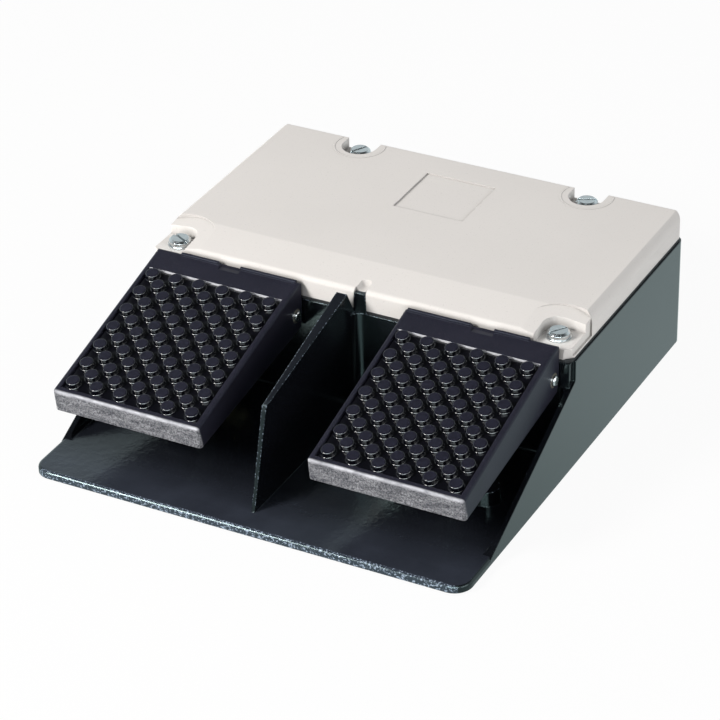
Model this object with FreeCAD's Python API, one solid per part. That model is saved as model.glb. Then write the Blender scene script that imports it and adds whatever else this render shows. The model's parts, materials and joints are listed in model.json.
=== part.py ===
import FreeCAD, Part
import math
import os

os.makedirs("parts", exist_ok=True)

# Driving dimensions, in millimetres and degrees. X is to the right, Y to the rear, Z up.
# The origin lies on the surface that the feet stand on, below the middle of the casting.

# Casting
width = 250.0               # over the side walls
depth = 275.0               # front edge to rear wall
tray_depth = 126.0          # front edge to the front face of the bulkhead
floor_thick = 4.0
wall = 3.0
rim_height = 63.2           # top of the walls above the casting's underside
front_corner = 10.0         # plan radius of the front corners
rear_corner = 6.0
edge_round = 1.8            # rounding of the floor plate's rim
tray_fillet = 3.0
bulkhead_corner = 4.5       # radius between the bulkhead and the side walls
cheek_step = 4.56           # the cheeks' upright front edge, behind the bulkhead's face
cheek_height = 51.4         # where the sloping edge of the cheeks begins
cheek_foot = 29.8           # front edge to the foot of the sloping edge
ledge_width = 3.5           # inner ledge that widens the rim for the gasket
ledge_height = 6.0
foot_stand = 1.0            # what the rubber feet stand proud of the casting

# Dividing rib
rib_front_thick = 1.8
rib_rear_thick = 6.5
rib_front_foot = 14.0       # front edge of the tray to the rib's foot
rib_front_top = 29.7
rib_front_height = 55.7
rib_nose = 4.0
rib_rear_height = 77.5
rib_rear_setback = 7.5      # the rib's top ends this far before the bulkhead
rib_root_height = 64.0
rib_root_fillet = 5.5

# Tongue of the casting in the cover's front slot
tongue_x = 3.0
tongue_height = 11.2        # above the rim
tongue_foot_width = 8.0
tongue_top_width = 6.3
tongue_thick = 2.6
tongue_setback = 0.3        # behind the cover's front face
tongue_gap = 0.3

# Gasket and cover
gasket_thick = 1.8
gasket_inset = 1.0
gasket_band = 5.0
sleeve_gap = 0.3            # cover's front sleeves over the columns
cover_inset = 1.0           # cover's sides and back inside the walls
cover_front_inset = 0.5
cover_wall = 3.0
cover_height = 14.1         # cover's lower edge to its flat top
cover_slope = 6.7           # fall of the top in front of the fold
cover_fold = 27.0           # bulkhead's face to the fold
cover_front_lean = 0.7
cover_front_round = 3.0
bevel_run = 4.0             # how far the side bevel draws in
bevel_drop = 5.6
bevel_bulge = 0.8
cover_corner_cut = 4.5
emblem_side = 42.0          # bare square recess on the top
emblem_rear = 41.1          # rear of the casting to the recess's middle
emblem_depth = 0.8
groove_width = 6.2
groove_length = 13.5
groove_depth = 2.4

# Cover screws, M6 with slotted pan heads
screw_front_in = 13.0       # from the side of the casting
screw_front_y = 11.9        # behind the bulkhead's face
screw_rear_x = 70.0
screw_rear_y = 7.4          # before the rear of the casting
screw_radius = 3.0
screw_length = 20.0
screw_head_radius = 6.0
screw_head_height = 3.4
screw_slot = 1.4
screw_turns = (-28.0, 60.0, 55.0, 25.0)  # how each slot was left when its screw was tightened
washer_radius = 6.5
washer_thick = 0.8
hole_clearance = 0.3
column_radius = 6.8
sleeve_radius = 5.4         # cover's sleeves inside the gasket
pocket_floor = 5.6          # front pockets' floor above the cover's lower edge
pocket_floor_radius = 9.0
pocket_rim_radius = 9.7     # at the flat top's height
step_radius = 19.0          # arc wall of the lowered corner, about the screw
step_start = 30.0           # side of the casting to where the lowered corner begins
step_tilt = 6.0             # its fall towards the side
step_side = 1.0             # how far it cuts into the cover's side
step_side_low = 1.2         # foot of that cut above the cover's lower edge
notch_floor = 8.1           # rear notches' floor above the cover's lower edge
notch_radius = 10.2
notch_ring_radius = 15.0
notch_ring_height = 0.15
notch_ring_width = 1.0

# Pedals
pedal_side_gap = 4.1        # pedal to the side wall
pedal_inner = 30.9          # middle of the casting to the pedal's inner side
pedal_tilt = 14.69          # rest angle of the tread
pedal_travel = 12.0         # degrees from rest to the stop
pivot_height = 56.0         # above the casting's underside
pivot_out = 6.5             # bulkhead's face to the pivot
pivot_depth = 16.2          # frame's surface to the pivot
pedal_reach = 104.1         # pivot to the front lip, along the tread
pedal_gap = 0.7             # pedal to bulkhead
lip_height = 12.8
lip_flare = 1.5
flange_drop = 26.0          # frame's surface to the flange's lower edge beside the pivot
pedal_skin = 4.5
pedal_wall = 3.0
pedal_round = 2.0
rail_height = 1.4           # raised rail along the rear edge
rail_width = 1.8
rail_short = 15.5           # the rail stops this far from the outer end
rail_notch = 12.0
rail_notch_shift = 2.2
rail_notch_depth = 1.0
pedal_rib = 2.0
pedal_rib_depth = 9.0
joint_bite = 0.5            # how far ribs and bosses run into the skin they join

# Tread mat with round studs in staggered rows
stud_pitch = 14.142         # ten millimetres along the diagonals
stud_radius = 3.75
stud_height = 3.2
stud_proud = 2.0            # studs above the frame's surface
lip_to_studs = 8.5          # front lip to the first row of studs
pivot_to_studs = 10.0       # least distance of the last row from the pivot
mat_margin = 4.85           # first row to the edge of the mat
mat_side_margin = 4.85
pedal_rim = 3.0             # least width of the frame beside the mat
mat_thick = 1.2
mat_gap = 0.15

# Pivot
pin_radius = 3.0
pin_proud = 1.6
pin_chamfer = 0.6
pin_fit = 0.03
lug_thick = 8.0
lug_shift = 0.25            # lugs stand this far outside the pedal's quarter points
lug_radius = 6.3
lug_foot = 20.0             # height of the lug's foot below the pivot
bush_wall = 1.0
bush_fit = 0.05
bush_length = 7.5
bush_flange = 0.8
bush_flange_radius = 5.4
bush_inset = 0.1            # bush's outer end inside the pedal's side
pivot_boss_radius = 5.7
ring_thick = 1.0
ring_radius = 5.5
ring_groove = 0.5

# Push rod and its guide
rod_drop = 23.0             # pivot to the rod's axis
rod_radius = 5.0
rod_dome = 6.0
rod_front = 12.5            # rod's tip before the bulkhead's face
rod_length = 38.0
rod_fit = 0.05
striker_gap = 0.3
striker_half = 7.0
striker_thick = 8.7
striker_below = 6.0
guide_radius = 8.0
guide_flange_radius = 11.0
guide_flange = 2.5
guide_length = 12.0
guide_nut_across = 24.0
guide_nut_thick = 4.0
seal_section = 0.9
seal_groove = 2.2
seal_place = 5.0            # bulkhead's face to the seal ring

# Return spring
spring_out = 32.0           # pivot to the spring's axis
spring_top = 45.0           # pedal's spring seat above the casting's underside
spring_wire = 0.8
spring_radius = 7.2
spring_turns = 7
spring_steps = 16           # straight steps to a turn
spring_gap = 0.05           # coil to its seats
spring_seat_thick = 3.0
spring_seat_radius = 9.5
spring_spigot = 5.2
spring_spigot_height = 4.0

# Stops
stop_out = 52.0             # pivot to the stop
stop_post_radius = 8.0
stop_post_height = 10.0
stop_rubber_radius = 7.0
stop_rubber_height = 15.0
stop_stem_radius = 3.0
stop_stem = 6.0
stop_edge = 1.5
stop_clearance = 0.3
stop_pad_radius = 7.0
buffer_radius = 3.0
buffer_height = 2.9
buffer_stem_radius = 2.0
buffer_stem = 4.0
buffer_up = 4.0             # above the pivot
tab_half = 8.0
web_thick = 2.8
web_over_lug = 0.9

# Contact blocks
block_front = 31.5          # bulkhead's face to the block
block_width = 30.0
block_length = 46.0
block_height = 30.0
block_step = 6.0
block_step_width = 8.0
block_step_margin = 11.0
plunger_radius = 3.0
plunger_inside = 10.0
plunger_room = 8.0
plunger_fit = 0.2
block_screw_gap = 0.15
block_screw_x = 8.5
block_screw_y = 5.5
sheet = 2.0
bracket_foot = 12.0
bracket_margin = 2.0
floor_boss_height = 4.0
floor_boss_radius = 5.0
small_screw_radius = 2.0
small_head_radius = 3.6
small_head_height = 2.6
small_screw_bite = 3.0
small_slot = 1.0
collar_radius = 3.5
collar_height = 3.0
clamp_screw_radius = 3.0
clamp_screw_height = 2.0
clamp_screw_sink = 1.5
clamp_screw_gap = 0.1

# Terminal strip and earth screw
strip_length = 60.0
strip_width = 20.0
strip_height = 18.0
strip_rear = 37.5           # rear of the casting to the strip's middle
strip_poles = 5
strip_pitch = 8.0
strip_screw_x = 26.0
strip_row = 6.0
strip_clamp_sink = 1.0
wire_mouth_radius = 2.2
wire_mouth_height = 6.0
strip_ear_gap = 0.6
earth_from_fixing = 25.0    # across, from the fixing hole to the earth screw
earth_rear = 37.5
earth_screw_radius = 2.5
earth_head_radius = 4.5
earth_head_height = 3.2
earth_slot = 1.2
earth_washer_radius = 6.0
earth_washer_thick = 0.8

# Cable entries, M20
entry_x = 45.0
entry_height = 29.0
entry_radius = 10.2
plug_pad_radius = 15.0
plug_pad = 5.0
plug_shank_radius = 10.0
plug_head_radius = 12.0
plug_head = 2.0
plug_seal = 0.5
plug_key = 10.0
plug_key_depth = 4.0
plug_gap = 0.2

# Feet and fixing holes
foot_radius = 9.0
foot_recess = 2.0
foot_gap = 0.3
foot_edge = 0.5
foot_in = 17.0              # from the side of the casting
foot_front = 19.5
foot_rear = 17.5
fixing_in = 25.0            # from the side of the casting
fixing_front = 77.5
fixing_radius = 3.0
fixing_depth = 9.0
fixing_boss_radius = 7.0
fixing_boss_height = 8.0

# Places worked out from the driving dimensions
half_w = width / 2
y_front = -depth / 2
y_rear = depth / 2
y_bulk = y_front + tray_depth
z_under = foot_stand
z_floor = z_under + floor_thick
z_rim = z_under + rim_height
z_cover = z_rim + gasket_thick
z_top = z_cover + cover_height
y_pivot = y_bulk - pivot_out
z_pivot = z_under + pivot_height
z_rod = z_pivot - rod_drop
pedal_width = half_w - wall - pedal_side_gap - pedal_inner
pedal_x = pedal_inner + pedal_width / 2
lug_spread = pedal_width / 4 + lug_shift
tread_front = pedal_reach - lip_to_studs
stud_rows = 1 + int((tread_front - pivot_to_studs) / stud_pitch)
stud_columns = 1 + int((pedal_width - 2 * pedal_rim - 2 * mat_side_margin) / stud_pitch)
screw_front_x = half_w - screw_front_in
foot_x = half_w - foot_in
fixing_x = half_w - fixing_in
earth_x = fixing_x - earth_from_fixing
emblem_y = y_rear - emblem_rear
strip_y = y_rear - strip_rear
earth_y = y_rear - earth_rear
tilt = math.radians(pedal_tilt)
beyond = 50.0               # how far cutting tools reach past the part

SIDES = {"left": -1, "right": 1}


def vec(x, y, z):
    return FreeCAD.Vector(x, y, z)


X_AXIS = vec(1, 0, 0)
Y_AXIS = vec(0, 1, 0)
Z_AXIS = vec(0, 0, 1)


def box(x0, x1, y0, y1, z0, z1):
    return Part.makeBox(x1 - x0, y1 - y0, z1 - z0, vec(x0, y0, z0))


def cylinder(radius, start, end):
    """A cylinder from one point on its axis to another."""
    axis = end - start
    return Part.makeCylinder(radius, axis.Length, start, axis)


def prism(points, along):
    """A straight extrusion of a closed outline of 3-D points."""
    return Part.Face(Part.makePolygon(points + [points[0]])).extrude(along)


def prism_x(points, x0, x1):
    """Extrudes an outline of (y, z) points along X."""
    return prism([vec(x0, y, z) for y, z in points], vec(x1 - x0, 0, 0))


def prism_y(points, y0, y1):
    """Extrudes an outline of (x, z) points along Y."""
    return prism([vec(x, y0, z) for x, z in points], vec(0, y1 - y0, 0))


def prism_z(points, z0, z1):
    """Extrudes an outline of (x, y) points along Z."""
    return prism([vec(x, y, z0) for x, y in points], vec(0, 0, z1 - z0))


def fused(shapes):
    """One solid, with faces that continue each other merged."""
    return shapes[0].multiFuse(shapes[1:]).removeSplitter()


def group(shapes):
    return Part.makeCompound(shapes)


def rounded(shape, radius, wanted):
    """Rounds the edges whose ends and middle all satisfy a test of their point."""
    chosen = []
    for edge in shape.Edges:
        first, last = edge.ParameterRange
        samples = [edge.valueAt(first + (last - first) * part) for part in (0.0, 0.5, 1.0)]
        if all(wanted(point) for point in samples):
            chosen.append(edge)
    return shape.makeFillet(radius, chosen)


def bevelled(shape, size, wanted):
    """Chamfers the round edges whose points satisfy a test."""
    chosen = [edge for edge in shape.Edges if edge.Closed and wanted(edge.valueAt(edge.FirstParameter))]
    return shape.makeChamfer(size, chosen)


def near(value, place):
    return abs(value - place) < 0.01


def upright_rounded(x0, x1, y0, y1, z0, z1, radius):
    """A box with its four upright edges rounded."""
    block = box(x0, x1, y0, y1, z0, z1)
    uprights = [edge for edge in block.Edges if near(edge.Vertexes[0].X, edge.Vertexes[1].X)
                and near(edge.Vertexes[0].Y, edge.Vertexes[1].Y)]
    return block.makeFillet(radius, uprights)


def hexagon(across, start, end):
    """A hexagonal prism, given its width across flats and the ends of its axis along Y."""
    corner = across / math.sqrt(3)
    points = [(start.x + corner * math.cos(math.radians(60 * k)),
               start.z + corner * math.sin(math.radians(60 * k))) for k in range(6)]
    return prism_y(points, start.y, end.y)


# Pedal frame of reference: x along the pivot, t along the tread, n square to it,
# with the pivot at the origin.

def to_world(side, shape):
    """Turns a shape from the pedal's frame to its place at rest."""
    placed = shape.copy()
    placed.rotate(vec(0, 0, 0), X_AXIS, pedal_tilt)
    placed.translate(vec(side * pedal_x, y_pivot, z_pivot))
    return placed


def to_pedal(y, z):
    """The pedal's (t, n) of a point given by its offsets behind and above the pivot."""
    return (y * math.cos(tilt) + z * math.sin(tilt), z * math.cos(tilt) - y * math.sin(tilt))


def from_pressed(side, shape):
    """Takes a shape placed on the fully pressed pedal back to the pedal at rest."""
    moved = shape.copy()
    moved.rotate(vec(side * pedal_x, y_pivot, z_pivot), X_AXIS, -pedal_travel)
    return moved


def skin_limit(side):
    """Everything above the middle of the pedal's skin, where added bosses must stop."""
    high = pivot_depth - pedal_skin * 0.8
    local = box(-pedal_width, pedal_width, -pedal_reach - beyond, beyond, high, high + 2 * beyond)
    return to_world(side, local)


def cover_screw_places():
    """Centre and seat height of each cover screw."""
    places = []
    for side in SIDES.values():
        places.append((side * screw_front_x, y_bulk + screw_front_y, z_cover + pocket_floor))
        places.append((side * screw_rear_x, y_rear - screw_rear_y, z_cover + notch_floor))
    return places


def foot_places():
    return [(x, y) for x in (-foot_x, foot_x) for y in (y_front + foot_front, y_rear - foot_rear)]


def fixing_places():
    behind_blocks = (y_bulk + block_front + block_length + y_rear - ledge_width) / 2
    rows = (y_front + fixing_front, behind_blocks)
    return [(x, y) for x in (-fixing_x, fixing_x) for y in rows]


def bracket_screw_places():
    middle = y_bulk + block_front + block_length / 2
    reach = block_width / 2 + bracket_foot / 2
    return [(side * pedal_x + step * reach, middle) for side in SIDES.values() for step in (-1, 1)]


def dividing_rib():
    """A rib that thickens towards the rear, drawn in side view and cut to its plan taper."""
    foot_y = y_front + rib_front_foot
    top_y = y_front + rib_front_top
    top_z = z_under + rib_front_height
    rear_y = y_bulk - rib_rear_setback
    slope = (z_under + rib_rear_height - top_z) / (rear_y - top_y)
    outline = [(foot_y, z_under + edge_round), (top_y, top_z),
               (top_y + rib_nose * 0.35, top_z + rib_nose * 0.75),
               (top_y + rib_nose * 1.2, top_z + rib_nose * 1.2 * slope + rib_nose * 0.55),
               (rear_y, z_under + rib_rear_height),
               (y_bulk, z_under + rib_root_height), (y_bulk + wall / 2, z_under + rib_root_height - wall),
               (y_bulk + wall / 2, z_under + edge_round)]
    side_view = prism_x(outline, -rib_rear_thick - beyond, beyond)
    plan = prism_z([(0, foot_y), (0, y_bulk + wall), (-rib_rear_thick, y_bulk + wall),
                    (-rib_front_thick, foot_y)], 0, z_top + beyond)
    return side_view.common(plan)


def rib_root():
    """The hollow fillet between the rib's right face and the bulkhead."""
    corner = box(-1, rib_root_fillet, y_bulk - rib_root_fillet, y_bulk + 1, z_floor - 1, z_rim)
    hollow = cylinder(rib_root_fillet, vec(rib_root_fillet, y_bulk - rib_root_fillet, z_floor - 2),
                      vec(rib_root_fillet, y_bulk - rib_root_fillet, z_rim + 1))
    return corner.cut(hollow)


def tongue():
    """The tapered tongue on the bulkhead that centres the cover."""
    foot = tongue_foot_width / 2
    top = tongue_top_width / 2
    outline = [(tongue_x - foot, z_rim - wall), (tongue_x + foot, z_rim - wall),
               (tongue_x + top, z_rim + tongue_height), (tongue_x - top, z_rim + tongue_height)]
    front = y_bulk + cover_front_inset + tongue_setback
    return prism_y(outline, front, front + tongue_thick)


def tongue_slot(depth_below):
    """The room round the tongue, open at the front and at the top."""
    rear = y_bulk + cover_front_inset + tongue_setback + tongue_thick + tongue_gap
    foot = tongue_foot_width / 2 + tongue_gap
    top = tongue_top_width / 2 + tongue_gap
    low = z_rim - depth_below
    high = z_rim + tongue_height
    right_side = [(tongue_x + foot, low), (tongue_x + top, high), (tongue_x + top, high + beyond)]
    left_side = [(tongue_x - top, high + beyond), (tongue_x - top, high), (tongue_x - foot, low)]
    return prism_y(right_side + left_side, y_bulk - 1, rear)


def pivot_lug(x):
    """A lug that carries the pivot pin, with a round nose and a foot down the bulkhead."""
    nose = cylinder(lug_radius, vec(x - lug_thick / 2, y_pivot, z_pivot),
                    vec(x + lug_thick / 2, y_pivot, z_pivot))
    back = y_bulk + wall / 2
    web = prism_x([(y_pivot, z_pivot + lug_radius), (back, z_pivot + lug_radius),
                   (back, z_pivot - lug_foot),
                   (y_pivot - lug_radius * 0.94, z_pivot - lug_radius * 0.34)],
                  x - lug_thick / 2, x + lug_thick / 2)
    return nose.fuse(web)


def housing_hollow():
    """The space inside the housing, narrower at the top where the rim widens to a ledge."""
    x = half_w - wall
    front = y_bulk + wall
    rear = y_rear - wall
    z_ledge = z_rim - ledge_height
    lower = upright_rounded(-x, x, front, rear, z_floor, z_ledge - ledge_width, tray_fillet + ledge_width)
    rings = []
    for inset, z in ((0, z_ledge - ledge_width), (ledge_width, z_ledge)):
        rings.append(Part.makePolygon([vec(-x + inset, front + inset, z), vec(x - inset, front + inset, z),
                                       vec(x - inset, rear - inset, z), vec(-x + inset, rear - inset, z),
                                       vec(-x + inset, front + inset, z)]))
    taper = Part.makeLoft(rings, True, True)
    upper = box(-x + ledge_width, x - ledge_width, front + ledge_width, rear - ledge_width,
                z_ledge, z_rim + beyond)
    return lower.fuse(taper).fuse(upper)


def base_housing():
    """Floor plate, cheeks and housing walls in one casting."""
    plate = box(-half_w, half_w, y_front, y_rear, z_under, z_floor)
    plate = rounded(plate, front_corner, lambda p: near(abs(p.x), half_w) and near(p.y, y_front))
    plate = rounded(plate, rear_corner, lambda p: near(abs(p.x), half_w) and near(p.y, y_rear))
    plate = rounded(plate, edge_round, lambda p: near(p.z, z_floor))
    y_cheek = y_bulk + cheek_step
    z_cheek = z_under + cheek_height
    foot_y = y_front + cheek_foot
    foot_z = z_floor - edge_round / 2
    body = prism_x([(foot_y, foot_z), (y_cheek, z_cheek), (y_cheek, z_rim), (y_rear, z_rim),
                    (y_rear, z_under), (foot_y, z_under)], -half_w, half_w)
    body = rounded(body, rear_corner, lambda p: near(abs(p.x), half_w) and near(p.y, y_rear))
    front_wall = box(-half_w + wall / 2, half_w - wall / 2, y_bulk, y_cheek + wall, z_under, z_rim)
    casting = plate.fuse(body).fuse(front_wall)

    tray = upright_rounded(-half_w + wall, half_w - wall, y_front - beyond, y_bulk, z_floor, z_rim + beyond,
                           bulkhead_corner)
    tray = rounded(tray, tray_fillet, lambda p: near(p.z, z_floor))
    casting = casting.cut(tray).cut(housing_hollow())

    added = [dividing_rib(), rib_root(), tongue()]
    for side in SIDES.values():
        x = side * pedal_x
        added.append(pivot_lug(x - lug_spread))
        added.append(pivot_lug(x + lug_spread))
        y_stop = y_pivot - stop_out
        added.append(Part.makeCone(stop_post_radius + 1, stop_post_radius, stop_post_height + 1,
                                   vec(x, y_stop, z_floor - 1)))
        y_spring = y_pivot - spring_out
        seat = z_floor + spring_seat_thick
        added.append(cylinder(spring_seat_radius, vec(x, y_spring, z_floor - 1), vec(x, y_spring, seat)))
        added.append(cylinder(spring_spigot, vec(x, y_spring, z_floor - 1),
                              vec(x, y_spring, seat + spring_spigot_height)))
    for x, y, _ in cover_screw_places():
        added.append(cylinder(column_radius, vec(x, y, z_floor - 1), vec(x, y, z_rim)))
    for x, y in fixing_places():
        added.append(Part.makeCone(fixing_boss_radius + 1, fixing_boss_radius, fixing_boss_height + 1,
                                   vec(x, y, z_floor - 1)))
    floor_bosses = bracket_screw_places() + [(-strip_screw_x, strip_y), (strip_screw_x, strip_y),
                                             (earth_x, earth_y)]
    for x, y in floor_bosses:
        added.append(cylinder(floor_boss_radius, vec(x, y, z_floor - 1),
                              vec(x, y, z_floor + floor_boss_height)))
    z_entry = z_under + entry_height
    added.append(cylinder(plug_pad_radius, vec(-entry_x, y_rear - wall - plug_pad, z_entry),
                          vec(-entry_x, y_rear - wall / 2, z_entry)))
    casting = fused([casting] + added)

    holes = []
    for side in SIDES.values():
        x = side * pedal_x
        pin_reach = lug_spread + lug_thick
        holes.append(cylinder(pin_radius + pin_fit, vec(x - pin_reach, y_pivot, z_pivot),
                              vec(x + pin_reach, y_pivot, z_pivot)))
        holes.append(cylinder(guide_radius + pin_fit, vec(x, y_bulk - 1, z_rod),
                              vec(x, y_bulk + wall + 1, z_rod)))
        z_buffer = z_pivot + buffer_up
        holes.append(cylinder(buffer_stem_radius, vec(x, y_bulk - 1, z_buffer),
                              vec(x, y_bulk + buffer_stem, z_buffer)))
        y_stop = y_pivot - stop_out
        z_post = z_floor + stop_post_height
        holes.append(cylinder(stop_stem_radius, vec(x, y_stop, z_post - stop_stem),
                              vec(x, y_stop, z_post + 1)))
    for x, y, seat in cover_screw_places():
        holes.append(cylinder(screw_radius + pin_fit, vec(x, y, seat + washer_thick - screw_length - 1),
                              vec(x, y, z_rim + 1)))
    for x, y in fixing_places():
        holes.append(cylinder(fixing_radius, vec(x, y, z_under - 1), vec(x, y, z_under + fixing_depth)))
    for x, y in floor_bosses[:-1]:
        holes.append(cylinder(small_screw_radius + pin_fit,
                              vec(x, y, z_floor + floor_boss_height - small_screw_bite),
                              vec(x, y, z_floor + floor_boss_height + 1)))
    holes.append(cylinder(earth_screw_radius + pin_fit,
                          vec(earth_x, earth_y, z_floor + floor_boss_height - small_screw_bite),
                          vec(earth_x, earth_y, z_floor + floor_boss_height + 1)))
    for x, y in foot_places():
        holes.append(cylinder(foot_radius + foot_gap, vec(x, y, 0), vec(x, y, z_under + foot_recess)))
    holes.append(cylinder(entry_radius, vec(entry_x, y_rear - wall - 1, z_entry),
                          vec(entry_x, y_rear + 1, z_entry)))
    holes.append(cylinder(plug_shank_radius + pin_fit, vec(-entry_x, y_rear - wall - plug_pad - 1, z_entry),
                          vec(-entry_x, y_rear + 1, z_entry)))
    holes.append(cylinder(plug_head_radius + plug_gap,
                          vec(-entry_x, y_rear - plug_head - plug_seal, z_entry),
                          vec(-entry_x, y_rear + 1, z_entry)))
    return casting.cut(group(holes))


def cover_gasket():
    """A flat band on the rim, with an eye round each rear screw and a notch round the tongue."""
    outer = upright_rounded(-half_w + gasket_inset, half_w - gasket_inset, y_bulk + gasket_inset / 2,
                            y_rear - gasket_inset, z_rim, z_cover, rear_corner - gasket_inset)
    edge = gasket_inset + gasket_band
    inner = upright_rounded(-half_w + edge, half_w - edge, y_bulk + edge, y_rear - edge,
                            z_rim - 1, z_cover + 1, rear_corner - gasket_inset)
    band = outer.cut(inner)
    eyes = []
    holes = []
    for x, y, _ in cover_screw_places():
        if y > 0.5 * y_rear:
            eyes.append(cylinder(column_radius, vec(x, y, z_rim), vec(x, y, z_cover)).common(outer))
            holes.append(cylinder(screw_radius + hole_clearance, vec(x, y, z_rim - 1),
                                  vec(x, y, z_cover + 1)))
    return fused([band] + eyes).cut(group(holes + [tongue_slot(wall)]))


def cover_profile(inset):
    """Side view of the cover: upright front, sloping brow, flat top and rear wall."""
    front = y_bulk + cover_front_inset
    fold = y_bulk + cover_fold
    brow = front + cover_front_lean
    rear = y_rear - cover_inset
    fall = (fold - brow) * math.tan(math.radians(cover_slope))
    low = z_cover - (beyond if inset else 0)
    return [(front + inset, low), (brow + inset, z_top - fall - inset), (fold, z_top - inset),
            (rear - inset, z_top - inset), (rear - inset, low)]


def cover_section():
    """Front view of the cover, with a bulging bevel along each top edge."""
    x = half_w - cover_inset
    z_bevel = z_top - bevel_drop
    middle = (x - bevel_run / 2 + bevel_bulge * 0.8, z_top - bevel_drop / 2 + bevel_bulge * 0.6)
    start = y_front
    edges = []
    for side in (1, -1):
        edges.append(Part.Arc(vec(side * x, start, z_bevel), vec(side * middle[0], start, middle[1]),
                              vec(side * (x - bevel_run), start, z_top)).toShape())
    corners = [vec(x - bevel_run, start, z_top), vec(-x + bevel_run, start, z_top)]
    edges.append(Part.makeLine(corners[0], corners[1]))
    edges.append(Part.makeLine(vec(-x, start, z_bevel), vec(-x, start, z_cover)))
    edges.append(Part.makeLine(vec(-x, start, z_cover), vec(x, start, z_cover)))
    edges.append(Part.makeLine(vec(x, start, z_cover), vec(x, start, z_bevel)))
    wire = Part.Wire(Part.__sortEdges__(edges))
    return Part.Face(wire).extrude(vec(0, depth, 0))


def lowered_corner(side, grow):
    """The lowered corner round a front screw, with an arc wall and a floor that falls outward."""
    x = side * screw_front_x
    y = y_bulk + screw_front_y
    radius = step_radius + grow
    column = cylinder(radius, vec(x, y, z_cover), vec(x, y, z_top + wall))
    ahead = box(x - radius, x + radius, y_bulk - wall, y, z_cover, z_top + wall)
    lean = math.tan(math.radians(cover_slope))
    fall = math.tan(math.radians(step_tilt))
    start = half_w - step_start
    y0 = y_bulk - wall
    z0 = z_top - (y_bulk + cover_fold - y0) * lean - grow
    reach = step_start + wall + grow
    floor_line = [(side * (start - step_start), z0 + step_start * fall),
                  (side * (start + reach), z0 - reach * fall)]
    roof_line = [(side * (start + reach), z0 + beyond), (side * (start - step_start), z0 + beyond)]
    run = 2 * beyond
    above = prism([vec(px, y0, pz) for px, pz in floor_line + roof_line], vec(0, run, run * lean))
    return column.fuse(ahead).common(above)


def side_step(side):
    """The upright face round a front screw, set into the cover's side as far as the arc wall reaches."""
    x = side * screw_front_x
    y = y_bulk + screw_front_y
    low = z_cover + step_side_low
    column = cylinder(step_radius, vec(x, y, low), vec(x, y, z_top + wall))
    face = half_w - cover_inset - step_side
    near_end, far_end = sorted((side * face, side * (half_w + wall)))
    return column.common(box(near_end, far_end, y_bulk - wall, y + step_radius, low, z_top + wall))


def screw_pocket(side, grow):
    """A round pocket for a front screw, open to the front and to the side, in its lowered corner."""
    x = side * screw_front_x
    y = y_bulk + screw_front_y
    low = z_cover + pocket_floor - grow
    taper = (pocket_rim_radius - pocket_floor_radius) / (z_top - z_cover - pocket_floor)
    bottom = pocket_floor_radius + grow - grow * taper
    high = z_top + wall
    top = bottom + (high - low) * taper
    bowl = Part.makeCone(bottom, top, high - low, vec(x, y, low))
    out = side * (half_w + wall)
    ahead = prism_y([(x - side * bottom, low), (x - side * top, high), (out, high), (out, low)],
                    y_bulk - wall, y)
    beside = prism_x([(y + bottom, low), (y + top, high), (y_bulk - wall, high), (y_bulk - wall, low)],
                     x, out)
    return bowl.fuse(ahead).fuse(beside)


def screw_notch(side, grow):
    """A round recess about a rear screw, open at the rear edge."""
    x = side * screw_rear_x
    y = y_rear - screw_rear_y
    low = z_cover + notch_floor - grow
    radius = notch_radius + grow
    return cylinder(radius, vec(x, y, low), vec(x, y, z_top + wall)).fuse(
        box(x - radius, x + radius, y, y_rear + wall, low, z_top + wall))


def notch_ring(side):
    """The low curved ridge that frames a rear screw."""
    x = side * screw_rear_x
    y = y_rear - screw_rear_y
    ring = cylinder(notch_ring_radius, vec(x, y, z_top - 1), vec(x, y, z_top + notch_ring_height))
    ring = ring.cut(cylinder(notch_ring_radius - notch_ring_width, vec(x, y, z_top - 2),
                             vec(x, y, z_top + 2)))
    return ring.common(box(x - beyond, x + beyond, y - beyond, y_rear - cover_inset - 1, 0, z_top + 2))


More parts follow.
